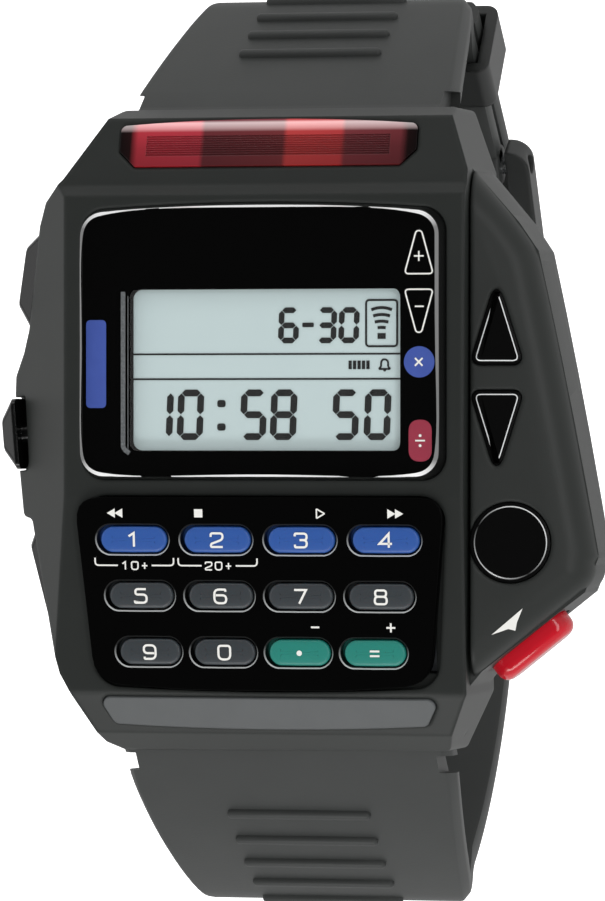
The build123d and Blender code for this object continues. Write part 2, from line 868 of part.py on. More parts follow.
with BuildPart() as module_frame:
    with BuildSketch(Plane.XY.offset(board_top + sheet_gap)):
        add(room_face(-module_gap))
    extrude(amount=deck_underside - board_top - 2 * sheet_gap)
    # Slope under the keypad mat, with a well for each contact pillar
    with BuildSketch(panel_plane.offset(-mat_bottom - sheet_gap)):
        with Locations((0, (pocket_high - panel_slant) / 2)):
            Rectangle(4 * room_half_width, pocket_high + panel_slant)
    extrude(amount=panel_slant, mode=Mode.SUBTRACT)
    with BuildSketch(panel_plane.offset(-mat_bottom)):
        for x, y, _ in key_spots().values():
            with Locations((x, y)):
                Circle(mat_pillar_radius + 2 * slide_gap)
    extrude(amount=-panel_slant, mode=Mode.SUBTRACT)
    # Seat of the display and the well of the chip and crystal below it
    with BuildSketch(Plane.XY.offset(lcd_bottom - reflector_thickness - sheet_gap)):
        with Locations((0, (lcd_top_y + lcd_bottom_y) / 2)):
            Rectangle(2 * (lcd_half_width + module_gap), lcd_top_y - lcd_bottom_y + 2 * module_gap)
    extrude(amount=overrun, mode=Mode.SUBTRACT)
    with BuildSketch(Plane.XY.offset(board_top)):
        with Locations(chip_place):
            Rectangle(chip_well_width, chip_well_length)
        with Locations((0, zebra_top_y), (0, zebra_bottom_y)):
            Rectangle(zebra_length + 2 * module_gap, zebra_width + 2 * module_gap)
    extrude(amount=overrun, mode=Mode.SUBTRACT)
write(module_frame.part, "module_frame")

with BuildPart() as zebra_connectors:
    with BuildSketch(Plane.XY.offset(board_top + sheet_gap)):
        with Locations((0, zebra_top_y), (0, zebra_bottom_y)):
            Rectangle(zebra_length, zebra_width)
    extrude(amount=lcd_bottom - board_top - 2 * sheet_gap)
write(zebra_connectors.part, "zebra_connectors")

with BuildPart() as lcd_reflector:
    with BuildSketch(Plane.XY.offset(lcd_bottom - reflector_thickness)):
        with Locations((0, (zebra_top_y + zebra_bottom_y) / 2)):
            Rectangle(2 * lcd_half_width, zebra_top_y - zebra_bottom_y - zebra_width - 4 * sheet_gap)
    extrude(amount=reflector_thickness - sheet_gap)
write(lcd_reflector.part, "lcd_reflector")

with BuildPart() as lcd_panel:
    with BuildSketch(Plane.XY.offset(lcd_bottom)):
        with Locations((0, (lcd_top_y + lcd_bottom_y) / 2)):
            Rectangle(2 * lcd_half_width, lcd_top_y - lcd_bottom_y)
    extrude(amount=lcd_thickness - lcd_polariser)
    with BuildSketch(Plane.XY.offset(lcd_top - lcd_polariser)):
        with Locations((0, (lcd_top_y + lcd_bottom_y) / 2)):
            Rectangle(
                2 * (lcd_half_width - polariser_edge),
                lcd_top_y - lcd_bottom_y - 2 * polariser_edge,
            )
    extrude(amount=lcd_polariser)
write(lcd_panel.part, "lcd_panel")

with BuildPart() as display_mask:
    with BuildSketch(Plane.XY.offset(mask_top - mask_thickness)):
        with Locations((0, (opening_top_y + opening_bottom_y) / 2)):
            Rectangle(
                2 * (opening_half_width - sheet_gap),
                opening_top_y - opening_bottom_y - 2 * sheet_gap,
            )
        with BuildSketch(mode=Mode.SUBTRACT):
            with Locations(((window_left + window_right) / 2, (window_top + window_bottom) / 2)):
                RectangleRounded(
                    window_right - window_left, window_top - window_bottom, window_corner
                )
    extrude(amount=mask_thickness)
write(display_mask.part, "display_mask")

# Crystal and its gasket
with BuildPart() as display_glass:
    with BuildSketch(Plane.XY.offset(crystal_seat)):
        add(crystal_face(0, crystal_half_width))
    with BuildSketch(Plane.XY.offset(ridge_height)):
        add(crystal_face(0, crystal_half_width))
    with BuildSketch(Plane.XY.offset(crystal_height)):
        add(crystal_face(crystal_top_half - crystal_half_width, crystal_half_width))
    loft(ruled=True)
    chamfer(display_glass.faces().sort_by(Axis.Z)[-1].edges(), glass_bevel)
write(display_glass.part, "display_glass")

with BuildPart() as display_gasket:
    with BuildSketch(Plane.XY.offset(crystal_seat - glass_gasket)):
        add(crystal_face(-sheet_gap, crystal_half_width))
        with Locations((0, (opening_top_y + opening_bottom_y) / 2)):
            Rectangle(
                2 * (opening_half_width + sheet_gap),
                opening_top_y - opening_bottom_y + 2 * sheet_gap, mode=Mode.SUBTRACT,
            )
    extrude(amount=glass_gasket)
write(display_gasket.part, "display_gasket")

# Infrared end
with BuildPart() as ir_window:
    with BuildSketch(block_plane.offset(ir_proud - ir_thickness)):
        add(ir_face(0))
    extrude(amount=ir_thickness)
    with BuildSketch(block_plane.offset(ir_proud)):
        groove_pitch = ir_pocket_length / (ir_groove_count - 1)
        with Locations((0, ir_middle)):
            with GridLocations(0, groove_pitch, 1, ir_groove_count):
                Rectangle(2 * ir_pocket_half, ir_groove_width)
    extrude(amount=-ir_groove_depth, mode=Mode.SUBTRACT)
write(ir_window.part, "ir_window")

with BuildPart() as ir_diodes:
    with BuildSketch(block_plane.offset(ir_proud - ir_thickness - sheet_gap)):
        for x in emitter_places:
            with Locations((x, ir_middle)):
                Circle(emitter_radius)
    extrude(amount=-emitter_length)
write(ir_diodes.part, "ir_diodes")

with BuildPart() as ir_receiver:
    with BuildSketch(block_plane.offset(ir_proud - ir_thickness - sheet_gap)):
        with Locations((receiver_place, ir_middle)):
            Rectangle(receiver_width, ir_pocket_length - 2 * module_gap)
    extrude(amount=-receiver_thickness)
write(ir_receiver.part, "ir_receiver")

with BuildPart() as ir_diode_board:
    with BuildSketch(block_plane.offset(ir_proud - ir_thickness - ir_pocket_depth + sheet_gap)):
        with Locations((0, ir_middle)):
            Rectangle(2 * (ir_pocket_half - module_gap), ir_pocket_length - 2 * module_gap)
    extrude(amount=ir_pocket_depth - emitter_length - 3 * sheet_gap)
write(ir_diode_board.part, "ir_diode_board")

with BuildPart() as lower_trim:
    with BuildSketch(strip_plane.offset(strip_proud - strip_thickness)):
        add(strip_face(0))
    extrude(amount=strip_thickness)
    chamfer(lower_trim.faces().sort_by(Axis.Z)[-1].edges(), strip_proud / 2)
write(lower_trim.part, "lower_trim")

# Keypad: panel, rubber mat and twelve keys
with BuildPart() as keypad_panel:
    with BuildSketch(panel_plane.offset(-panel_thickness)):
        add(panel_face(0))
    extrude(amount=panel_thickness)
    chamfer(keypad_panel.faces().filter_by(panel_plane).sort_by(Axis.Z)[-1].edges(), panel_bevel)
    with BuildSketch(panel_plane):
        for x, y, width in key_spots().values():
            with Locations((x, y)):
                SlotOverall(width + 2 * key_gap, key_height + 2 * key_gap)
    extrude(amount=-panel_thickness - overrun, mode=Mode.SUBTRACT)
write(keypad_panel.part, "keypad_panel")

with BuildPart() as keypad_mat:
    with BuildSketch(panel_plane.offset(-mat_bottom)):
        with Locations((0, (pocket_low + pocket_high) / 2)):
            Rectangle(
                2 * (pocket_half_width - module_gap), pocket_high - pocket_low - 2 * module_gap
            )
    extrude(amount=mat_thickness - sheet_gap)
    with BuildSketch(panel_plane.offset(-mat_bottom)):
        for x, y, _ in key_spots().values():
            with Locations((x, y)):
                Circle(mat_pillar_radius)
    extrude(amount=-panel_slant)
    split(bisect_by=Plane.XY.offset(board_top + mat_contact_gap), keep=Keep.TOP)
write(keypad_mat.part, "keypad_mat")

for key_name, (key_x, key_y, key_width) in key_spots().items():
    with BuildPart() as key:
        with BuildSketch(panel_plane.offset(-panel_thickness - sheet_gap - key_flange_depth)):
            with Locations((key_x, key_y)):
                SlotOverall(key_width + 2 * key_flange, key_height + 2 * key_flange)
        extrude(amount=key_flange_depth)
        with BuildSketch(panel_plane.offset(-panel_thickness - sheet_gap)):
            with Locations((key_x, key_y)):
                SlotOverall(key_width, key_height)
        extrude(amount=panel_thickness + sheet_gap + key_proud)
        chamfer(key.faces().sort_by(Axis.Z)[-1].edges(), key_edge)
    write(key.part, key_name)

# Wing: cover, mat with its contact board, and three keys
with BuildPart() as wing_cover:
    with BuildSketch(Plane.XY.offset(wing_underside)):
        add(wing_outline(wing_inner_x + wing_seam, wing_seam))
    extrude(amount=2 * wing_top_height)
    split(bisect_by=wing_plane, keep=Keep.BOTTOM)
    split(bisect_by=wing_seat_plane.offset(sheet_gap), keep=Keep.TOP)
    rim = wing_cover.faces().filter_by(wing_plane).sort_by(Axis.Z)[-1].edges()
    fillet(rim.filter_by_position(Axis.X, wing_inner_x + wing_roll, body_reach), wing_roll)
    with BuildSketch(wing_plane):
        for key_name, spot in wing_key_spots.items():
            with Locations(spot):
                add(wing_key_face(key_name, wing_recess_edge))
    extrude(amount=-wing_recess_depth, mode=Mode.SUBTRACT)
    with BuildSketch(wing_plane):
        for key_name, spot in wing_key_spots.items():
            with Locations(spot):
                add(wing_key_face(key_name, wing_key_gap))
    extrude(amount=-wing_cover_thickness - overrun, mode=Mode.SUBTRACT)
write(wing_cover.part, "wing_cover")

with BuildPart() as wing_key_mat:
    with BuildSketch(wing_seat_plane.offset(-wing_mat_top)):
        with Locations(wing_mat_spot):
            Rectangle(wing_mat_width - 2 * module_gap, wing_mat_length - 2 * module_gap)
    extrude(amount=-wing_mat_thickness)
write(wing_key_mat.part, "wing_key_mat")

for key_name, spot in wing_key_spots.items():
    with BuildPart() as key:
        with BuildSketch(wing_seat_plane.offset(-sheet_gap - wing_key_flange_depth)):
            with Locations(spot):
                add(wing_key_face(key_name, wing_key_flange))
        extrude(amount=wing_key_flange_depth)
        with BuildSketch(wing_seat_plane.offset(-sheet_gap)):
            with Locations(spot):
                add(wing_key_face(key_name, 0))
        extrude(amount=wing_cover_thickness + sheet_gap + wing_key_proud)
        chamfer(key.faces().sort_by(Axis.Z)[-1].edges(), key_edge)
    write(key.part, key_name)

# Side pushers with their stems, clips, seals and contact leaves
for name, (_, _, _, length, flat_length, proud, reach) in pusher_spots.items():
    plane = pusher_plane(name)
    with BuildPart() as pusher:
        with BuildSketch(plane.offset(-pusher_travel / 2)):
            RectangleRounded(pusher_height, length, pusher_corner)
        extrude(amount=pusher_travel / 2)
        with BuildSketch(plane):
            RectangleRounded(pusher_height, length, pusher_corner)
        with BuildSketch(plane.offset(proud)):
            RectangleRounded(pusher_flat_height, flat_length, pusher_corner)
        loft()
        with BuildSketch(plane):
            Circle(stem_radius)
        extrude(amount=-reach)
        with BuildSketch(plane.offset(clip_thickness - reach)):
            Circle(stem_radius + overrun)
            Circle(stem_radius - clip_groove_depth, mode=Mode.SUBTRACT)
        extrude(amount=clip_thickness, mode=Mode.SUBTRACT)
    write(pusher.part, name)
    with BuildPart() as stem_clip:
        with BuildSketch(plane.offset(clip_thickness + sheet_gap / 2 - reach)):
            Circle(clip_radius)
            Circle(stem_radius - clip_groove_depth + sheet_gap / 2, mode=Mode.SUBTRACT)
            with Locations((clip_radius, 0)):
                Rectangle(2 * clip_radius, clip_mouth, mode=Mode.SUBTRACT)
        extrude(amount=clip_thickness - sheet_gap)
    write(stem_clip.part, name.replace("pusher", "stem_clip"))

with BuildPart() as pusher_seals:
    for name in pusher_spots:
        with BuildSketch(pusher_plane(name).offset(-pusher_recess - sheet_gap)):
            Circle(seal_radius)
            Circle(stem_radius + stem_gap, mode=Mode.SUBTRACT)
        extrude(amount=-seal_thickness)
write(pusher_seals.part, "pusher_seals")

with BuildPart() as contact_leaves:
    for name, (_, _, _, _, _, _, reach) in pusher_spots.items():
        plane = pusher_plane(name)
        with BuildSketch(plane.offset(-reach - pusher_travel - sheet_gap)):
            with Locations(((board_floor - pusher_mid_height - leaf_drop) / 2, 0)):
                Rectangle(board_floor - pusher_mid_height + leaf_drop - 2 * sheet_gap, leaf_width)
        extrude(amount=-leaf_thickness)
write(contact_leaves.part, "contact_leaves")


# Strap halves. The loop's closing runs follow from where the halves meet
upper_runs = [*zip(upper_radii, upper_turn_angles), (upper_straight_length, 0.0)]
lower_first_runs = [*zip(lower_radii, lower_turn_angles)]


def bar_start(bar_y, bar_z, heading, outward):
    angle = radians(heading + outward)
    shift = strap_barrel - strap_thickness / 2
    return (bar_y + shift * cos(angle), bar_z + shift * sin(angle))


upper_start = bar_start(upper_bar_y, upper_bar_z, upper_heading, 90)
lower_start = bar_start(lower_bar_y, lower_bar_z, lower_heading, -90)
upper_end = walk(upper_start, upper_heading, upper_runs)[-1]
tail_shift = strap_thickness + tail_gap
tail_joint = (
    upper_end[0] + tail_shift * cos(radians(upper_end[2] + 90)),
    upper_end[1] + tail_shift * sin(radians(upper_end[2] + 90)),
)
tail_heading = upper_end[2] + 180


def lower_strap_runs():
    """Runs of the lower half: down the side, along the bottom, round the pin."""
    y, z, heading = walk(lower_start, lower_heading, lower_first_runs)[-1]
    sweep = radians(-heading)
    middle_z = strap_low_point + strap_thickness / 2
    bottom_radius = (z - middle_z) / (1 - cos(sweep))
    low_y = y + bottom_radius * sin(sweep)
    # The rise after the low point is an arc and a straight run
    rise = radians(tail_rise_angle)
    wrap = radians(tail_heading)
    run_y = tail_joint[0] - low_y - tail_wrap_radius * (sin(wrap) - sin(rise))
    run_z = tail_joint[1] - middle_z - tail_wrap_radius * (cos(rise) - cos(wrap))
    spread = sin(rise) ** 2 - cos(rise) * (1 - cos(rise))
    rise_radius = (run_y * sin(rise) - run_z * cos(rise)) / spread
    straight = (run_z - rise_radius * (1 - cos(rise))) / sin(rise)
    straight_tail = upper_straight_length - tail_end_before_bend
    return lower_first_runs + [
        (bottom_radius, -heading), (rise_radius, tail_rise_angle), (straight, 0.0),
        (tail_wrap_radius, tail_heading - tail_rise_angle), (straight_tail, 0.0),
    ]


lower_runs = lower_strap_runs()
lower_length = sum(run_length(run) for run in lower_runs)
upper_length = sum(run_length(run) for run in upper_runs)
joint_station = lower_length - run_length(lower_runs[-1])
pin_shift = strap_thickness / 2 - buckle_barrel
pin_plane = surface_plane(upper_end, 90, pin_shift)
pin_y, pin_z = pin_plane.origin.Y, pin_plane.origin.Z


def strap_mask(inset):
    """Front view of the strap: wide at the lugs, narrower round the loop."""
    half_shoulder = strap_shoulder_width / 2 - inset
    half_loop = strap_loop_width / 2 - inset
    half_tail = strap_tail_width / 2 - inset
    with BuildSketch() as face:
        with BuildLine():
            Polyline(
                (-half_shoulder, crystal_height), (-half_shoulder, strap_shoulder_z),
                (-half_loop, strap_loop_z), (-half_tail, strap_tail_z),
                (-half_tail, 2 * strap_low_point), (half_tail, 2 * strap_low_point),
                (half_tail, strap_tail_z), (half_loop, strap_loop_z),
                (half_shoulder, strap_shoulder_z), (half_shoulder, crystal_height), close=True,
            )
        make_face()
    return face.sketch


def band_solid(start, heading, runs, left, right, inset):
    with BuildPart() as band:
        with BuildSketch(Plane.YZ.offset(-strap_lug_width)):
            add(band_face(start, heading, runs, left, right))
        extrude(amount=2 * strap_lug_width)
        with BuildSketch(Plane.XZ.offset(-4 * case_half_length)):
            add(strap_mask(inset))
        extrude(amount=8 * case_half_length, mode=Mode.INTERSECT)
    return band.part


def strap_blank(start, heading, runs, outward):
    """Strap half before its ends: a full-width body with stepped outer shoulders."""
    half = strap_thickness / 2
    shoulder = half - strap_shoulder
    left, right = (shoulder, half) if outward > 0 else (half, shoulder)
    with BuildPart() as blank:
        add(band_solid(start, heading, runs, half, half, strap_shoulder))
        add(band_solid(start, heading, runs, left, right, 0))
    return blank.part


def offset_point(station, outward, distance):
    """Point (y, z) at a distance off a band's middle line."""
    y, z, heading = station
    angle = radians(heading + outward)
    return (y + distance * cos(angle), z + distance * sin(angle))


def shoulder_cuts(bar_y, bar_z):
    """Round clearances that narrow a strap's shoulders between the case's lugs."""
    with BuildPart() as cuts:
        for side in (-1, 1):
            with BuildSketch(Plane.YZ.offset(side * strap_lug_width / 2)):
                with Locations((bar_y, bar_z)):
                    Circle(shoulder_swing_radius)
            extrude(amount=side * overrun)
    return cuts.part


def barrel_cut(bar_y, bar_z, radius):
    """Round bore right through a strap end."""
    with BuildPart() as bore:
        with BuildSketch(Plane.YZ.offset(-strap_lug_width)):
            with Locations((bar_y, bar_z)):
                Circle(radius)
        extrude(amount=2 * strap_lug_width)
    return bore.part


upper_outward = 90
lower_outward = -90
tang_slot_width = tang_width + 2 * tang_slot_gap

with BuildPart() as upper_strap:
    add(strap_blank(upper_start, upper_heading, upper_runs, upper_outward))
    add(shoulder_cuts(upper_bar_y, upper_bar_z), mode=Mode.SUBTRACT)
    with BuildSketch(Plane.YZ.offset(-strap_lug_width / 2)):
        with Locations((upper_bar_y, upper_bar_z)):
            Circle(strap_barrel)
    extrude(amount=strap_lug_width)
    with BuildSketch(Plane.YZ.offset(-strap_tail_width / 2)):
        with Locations((pin_y, pin_z)):
            Circle(buckle_barrel)
    extrude(amount=strap_tail_width)
    for index in range(upper_rib_count):
        spot = along(upper_start, upper_heading, upper_runs, upper_rib_reach + index * rib_pitch)
        with BuildSketch(surface_plane(spot, upper_outward, strap_thickness / 2 - sheet_gap)):
            SlotOverall(rib_length, rib_width)
        extrude(amount=rib_height + sheet_gap)
    with BuildSketch(pin_plane.offset(-strap_thickness)):
        Rectangle(tang_slot_width, 2 * tang_slot_length)
    extrude(amount=3 * strap_thickness, mode=Mode.SUBTRACT)
    add(barrel_cut(upper_bar_y, upper_bar_z, bar_radius + lug_gap), mode=Mode.SUBTRACT)
    add(barrel_cut(pin_y, pin_z, buckle_pin_radius + lug_gap), mode=Mode.SUBTRACT)
write(upper_strap.part, "upper_strap")

with BuildPart() as lower_strap:
    add(strap_blank(lower_start, lower_heading, lower_runs, lower_outward))
    add(shoulder_cuts(lower_bar_y, lower_bar_z), mode=Mode.SUBTRACT)
    tip = along(lower_start, lower_heading, lower_runs, lower_length)
    with BuildSketch(surface_plane(tip, lower_outward, -strap_thickness)):
        Rectangle(2 * strap_lug_width, 2 * tail_tip_round)
        with Locations((0, tail_tip_round)):
            SlotOverall(strap_tail_width, 2 * tail_tip_round, mode=Mode.SUBTRACT)
    extrude(amount=2 * strap_thickness, mode=Mode.SUBTRACT)
    with BuildSketch(Plane.YZ.offset(-strap_lug_width / 2)):
        with Locations((lower_bar_y, lower_bar_z)):
            Circle(strap_barrel)
    extrude(amount=strap_lug_width)
    for index in range(rib_count):
        spot = along(lower_start, lower_heading, lower_runs, lower_rib_reach + index * rib_pitch)
        with BuildSketch(surface_plane(spot, lower_outward, strap_thickness / 2 - sheet_gap)):
            SlotOverall(rib_length, rib_width)
        extrude(amount=rib_height + sheet_gap)
    for index in range(tail_hole_count):
        station = joint_station - tang_hole_station - index * tail_hole_pitch
        spot = along(lower_start, lower_heading, lower_runs, station)
        with BuildSketch(surface_plane(spot, lower_outward, -strap_thickness)):
            RectangleRounded(tail_hole_width, tail_hole_length, tail_hole_width / 4)
        extrude(amount=2 * strap_thickness, mode=Mode.SUBTRACT)
    add(barrel_cut(lower_bar_y, lower_bar_z, bar_radius + lug_gap), mode=Mode.SUBTRACT)
write(lower_strap.part, "lower_strap")

for name, bar_y, bar_z in (
    ("upper_spring_bar", upper_bar_y, upper_bar_z),
    ("lower_spring_bar", lower_bar_y, lower_bar_z),
):
    with BuildPart() as spring_bar:
        for half_length, radius in (
            (bar_half_length, bar_radius),
            (bar_half_length + bar_pivot_length - lug_gap, bar_pivot_radius),
        ):
            with BuildSketch(Plane.YZ.offset(-half_length)):
                with Locations((bar_y, bar_z)):
                    Circle(radius)
            extrude(amount=2 * half_length)
    write(spring_bar.part, name)

# Buckle: the arms hold the pin, and the round outer bar lies outside the tail
bar_spot = along(
    lower_start, lower_heading, lower_runs, joint_station - buckle_bar_station
)
bar_off = strap_thickness / 2 + buckle_bar_gap + buckle_bar_radius
buckle_y, buckle_z = offset_point(bar_spot, lower_outward, bar_off)
arm_run = (buckle_y - pin_y, buckle_z - pin_z)
arm_length = hypot(*arm_run)
buckle_plane = Plane(
    origin=(0, pin_y, pin_z), x_dir=(1, 0, 0), z_dir=(0, -arm_run[1], arm_run[0])
)
arm_inner = strap_tail_width / 2 + buckle_side_gap
arm_outer = arm_inner + buckle_arm_width
tang_bar_off = bar_off + buckle_bar_radius + tang_thickness / 2 - tang_groove

with BuildPart() as buckle_frame:
    with BuildSketch(buckle_plane.offset(-buckle_arm_half_depth)):
        with Locations((0, arm_length / 2)):
            RectangleRounded(
                2 * arm_outer, arm_length + 2 * buckle_barrel, buckle_barrel
            )
            Rectangle(2 * arm_inner, arm_length + 3 * buckle_barrel, mode=Mode.SUBTRACT)
    extrude(amount=2 * buckle_arm_half_depth)
    bar_reach = arm_inner + buckle_arm_width / 2
    with BuildSketch(Plane.YZ.offset(-bar_reach)):
        with Locations((buckle_y, buckle_z)):
            Circle(buckle_bar_radius)
    extrude(amount=2 * bar_reach)
    groove_off = tang_bar_off - tang_thickness / 2 - tang_bar_gap
    bar_plane = surface_plane(bar_spot, lower_outward, groove_off)
    with BuildSketch(bar_plane):
        Rectangle(tang_slot_width, 4 * buckle_bar_radius)
    extrude(amount=overrun, mode=Mode.SUBTRACT)
    add(barrel_cut(pin_y, pin_z, buckle_pin_radius), mode=Mode.SUBTRACT)
write(buckle_frame.part, "buckle_frame")

with BuildPart() as buckle_pin:
    with BuildSketch(Plane.YZ.offset(-arm_outer + buckle_edge)):
        with Locations((pin_y, pin_z)):
            Circle(buckle_pin_radius - sheet_gap / 2)
    extrude(amount=2 * (arm_outer - buckle_edge))
write(buckle_pin.part, "buckle_pin")

elbow_spot = along(
    lower_start, lower_heading, lower_runs, joint_station - tang_hole_station
)
elbow = offset_point(elbow_spot, lower_outward, strap_thickness / 2 + tail_gap + tang_thickness)
tip_spot = along(
    lower_start, lower_heading, lower_runs, joint_station - buckle_bar_station - tang_tip
)
tang_end = offset_point(tip_spot, lower_outward, tang_bar_off)

with BuildPart() as buckle_tang:
    with BuildSketch(Plane.YZ.offset(-tang_width / 2)):
        with BuildLine():
            FilletPolyline((pin_y, pin_z), elbow, tang_end, radius=tang_bend)
        trace(line_width=tang_thickness)
        with Locations((pin_y, pin_z)):
            Circle(tang_barrel)
            Circle(buckle_pin_radius + lug_gap, mode=Mode.SUBTRACT)
    extrude(amount=tang_width)
write(buckle_tang.part, "buckle_tang")

# Keeper: a loose loop round the strap and its tail
keeper_spot = along(
    upper_start, upper_heading, upper_runs,
    upper_length - upper_straight_length + keeper_travel + keeper_length / 2 + 2 * tail_end_before_bend,
)
keeper_heading = radians(keeper_spot[2])
keeper_plane = Plane(
    origin=(0, *offset_point(keeper_spot, upper_outward, tail_shift / 2)),
    x_dir=(1, 0, 0),
    z_dir=(0, cos(keeper_heading), sin(keeper_heading)),
)
keeper_inner_width = strap_tail_width + 2 * keeper_gap
keeper_inner_height = 2 * strap_thickness + tail_gap + 2 * keeper_gap

with BuildPart() as strap_keeper:
    with BuildSketch(keeper_plane.offset(-keeper_length / 2)):
        RectangleRounded(
            keeper_inner_width + 2 * keeper_wall, keeper_inner_height + 2 * keeper_wall,
            keeper_corner,
        )
        Rectangle(keeper_inner_width, keeper_inner_height, mode=Mode.SUBTRACT)
    extrude(amount=keeper_length)
write(strap_keeper.part, "strap_keeper")
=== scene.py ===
from math import asin, copysign, cos, degrees, pi, radians, sin, tan

import bmesh
import bpy
from mathutils import Matrix, Vector


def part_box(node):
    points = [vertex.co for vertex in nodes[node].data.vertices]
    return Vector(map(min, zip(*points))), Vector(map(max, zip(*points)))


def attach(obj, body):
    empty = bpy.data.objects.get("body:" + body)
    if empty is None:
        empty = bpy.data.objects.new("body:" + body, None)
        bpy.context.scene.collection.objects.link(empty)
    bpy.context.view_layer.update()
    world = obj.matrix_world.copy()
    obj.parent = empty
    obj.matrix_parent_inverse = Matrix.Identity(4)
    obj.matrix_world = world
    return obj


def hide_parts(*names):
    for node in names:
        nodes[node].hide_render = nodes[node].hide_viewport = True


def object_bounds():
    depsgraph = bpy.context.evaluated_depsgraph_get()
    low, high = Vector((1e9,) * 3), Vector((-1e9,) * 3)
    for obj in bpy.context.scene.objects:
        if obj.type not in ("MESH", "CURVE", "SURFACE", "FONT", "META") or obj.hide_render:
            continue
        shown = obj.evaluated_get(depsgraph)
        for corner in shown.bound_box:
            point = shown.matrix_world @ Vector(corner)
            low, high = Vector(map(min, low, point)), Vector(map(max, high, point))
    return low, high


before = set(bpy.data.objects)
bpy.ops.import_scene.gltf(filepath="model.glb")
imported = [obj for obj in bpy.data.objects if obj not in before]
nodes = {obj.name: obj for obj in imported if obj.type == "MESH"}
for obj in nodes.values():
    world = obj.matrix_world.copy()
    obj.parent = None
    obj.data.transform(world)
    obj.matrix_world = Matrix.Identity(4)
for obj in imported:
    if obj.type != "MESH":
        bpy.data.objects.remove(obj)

cad_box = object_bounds()

# Camera and studio
# The watch lies in its closed loop and is seen from above the display, a little from
# the wing's side, through a long lens at half a metre.
MM = 0.001
picture_width, picture_height = 605, 901
sensor_width = 36.0
camera_yaw = radians(14.0)
camera_distance = 500.0
pixels_per_mm = 13.85
aim = Vector((0, 0, 13.0))
aim_pixel = (257.5, 432.0)
to_camera = Vector((sin(camera_yaw), 0, cos(camera_yaw)))
to_right = Vector((cos(camera_yaw), 0, -sin(camera_yaw)))
to_top = Vector((0, 1, 0))


def add_object(name, data):
    """Object of the scene that shows some data."""
    item = bpy.data.objects.new(name, data)
    bpy.context.collection.objects.link(item)
    return item


camera_data = bpy.data.cameras.new("camera")
camera_data.sensor_width = sensor_width
camera_data.lens = sensor_width * camera_distance * pixels_per_mm / picture_height
camera_data.shift_x = (picture_width / 2 - aim_pixel[0]) / picture_height
camera_data.shift_y = (aim_pixel[1] - picture_height / 2) / picture_height
camera_data.clip_start = 0.01
camera = add_object("camera", camera_data)
camera.matrix_world = Matrix.Translation((aim + to_camera * camera_distance) * MM) @ Matrix(
    (to_right, to_top, to_camera)
).transposed().to_4x4()
bpy.context.scene.camera = camera
bpy.context.scene.view_settings.view_transform = "Standard"


def add_node(tree, kind, inputs=None, **settings):
    """Adds a node with its settings, its inputs set or linked."""
    node = tree.nodes.new("ShaderNode" + kind)
    for name, value in settings.items():
        setattr(node, name, value)
    for name, value in (inputs or {}).items():
        if isinstance(value, bpy.types.NodeSocket):
            tree.links.new(value, node.inputs[name])
        else:
            node.inputs[name].default_value = value
    return node


def combine(tree, operation, first, second=0.0, clamp=False):
    """Result of a sum or a comparison of two values."""
    return add_node(tree, "Math", {0: first, 1: second}, operation=operation,
                    use_clamp=clamp).outputs["Value"]


def remap(tree, value, low, high, to_low=0.0, to_high=1.0):
    """Value carried over from one range to another."""
    return add_node(tree, "MapRange", {
        "Value": value, "From Min": low, "From Max": high, "To Min": to_low,
        "To Max": to_high}).outputs["Result"]


def coordinate(tree, kind, axis):
    """One axis of a kind of texture coordinate."""
    place = add_node(tree, "TexCoord").outputs[kind]
    return add_node(tree, "SeparateXYZ", {"Vector": place}).outputs[axis]


def lamp(name, place, power, width, height):
    """Soft box that faces the display, its place and size in millimetres."""
    data = bpy.data.lights.new(name, "AREA")
    data.shape = "RECTANGLE"
    data.size = width * MM
    data.size_y = height * MM
    data.energy = power
    box = add_object(name, data)
    box.location = Vector(place) * MM
    box.rotation_euler = Vector(place).to_track_quat("Z", "Y").to_euler()


lamp("lamp_top", (-40, 520, 250), 0.3, 460, 150)
lamp("lamp_bottom", (0, -420, 300), 0.8, 420, 140)
lamp("lamp_left", (-430, 60, 230), 0.15, 380, 160)
lamp("lamp_right", (330, 60, 400), 0.5, 420, 120)

# White room: what the camera sees is white, and glossy faces see it bright near
# the horizon and dim overhead, where the camera stands
room_level, horizon_level, overhead_level = 0.62, 0.45, 0.03
horizon_end, overhead_start = 0.35, 0.8
world = bpy.data.worlds.new("studio")
bpy.context.scene.world = world
world.use_nodes = True
room = world.node_tree
overhead = remap(
    room, coordinate(room, "Generated", "Z"), horizon_end, overhead_start, horizon_level,
    overhead_level)
rays = add_node(room, "LightPath").outputs
seen_through = combine(
    room, "SUBTRACT", rays["Is Glossy Ray"], rays["Is Transmission Ray"], clamp=True)
glossy_level = add_node(room, "Mix", {"Factor": seen_through, "A": room_level, "B": overhead})
seen_level = add_node(room, "Mix", {
    "Factor": rays["Is Camera Ray"], "A": glossy_level.outputs["Result"], "B": 1.0})
room.links.new(seen_level.outputs["Result"], room.nodes["Background"].inputs["Strength"])
room.nodes["Background"].inputs["Color"].default_value = (1, 1, 1, 1)


def tint(code):
    """sRGB hex colour as linear values."""
    parts = [int(code[i:i + 2], 16) / 255 for i in (1, 3, 5)]
    return [c / 12.92 if c <= 0.04045 else ((c + 0.055) / 1.055) ** 2.4 for c in parts] + [1.0]


def mix_colours(tree, share, first, second, blend="MIX"):
    """Colour between two, or one laid over the other."""
    return add_node(tree, "Mix", {"Factor": share, 6: first, 7: second}, data_type="RGBA",
                    blend_type=blend).outputs[2]


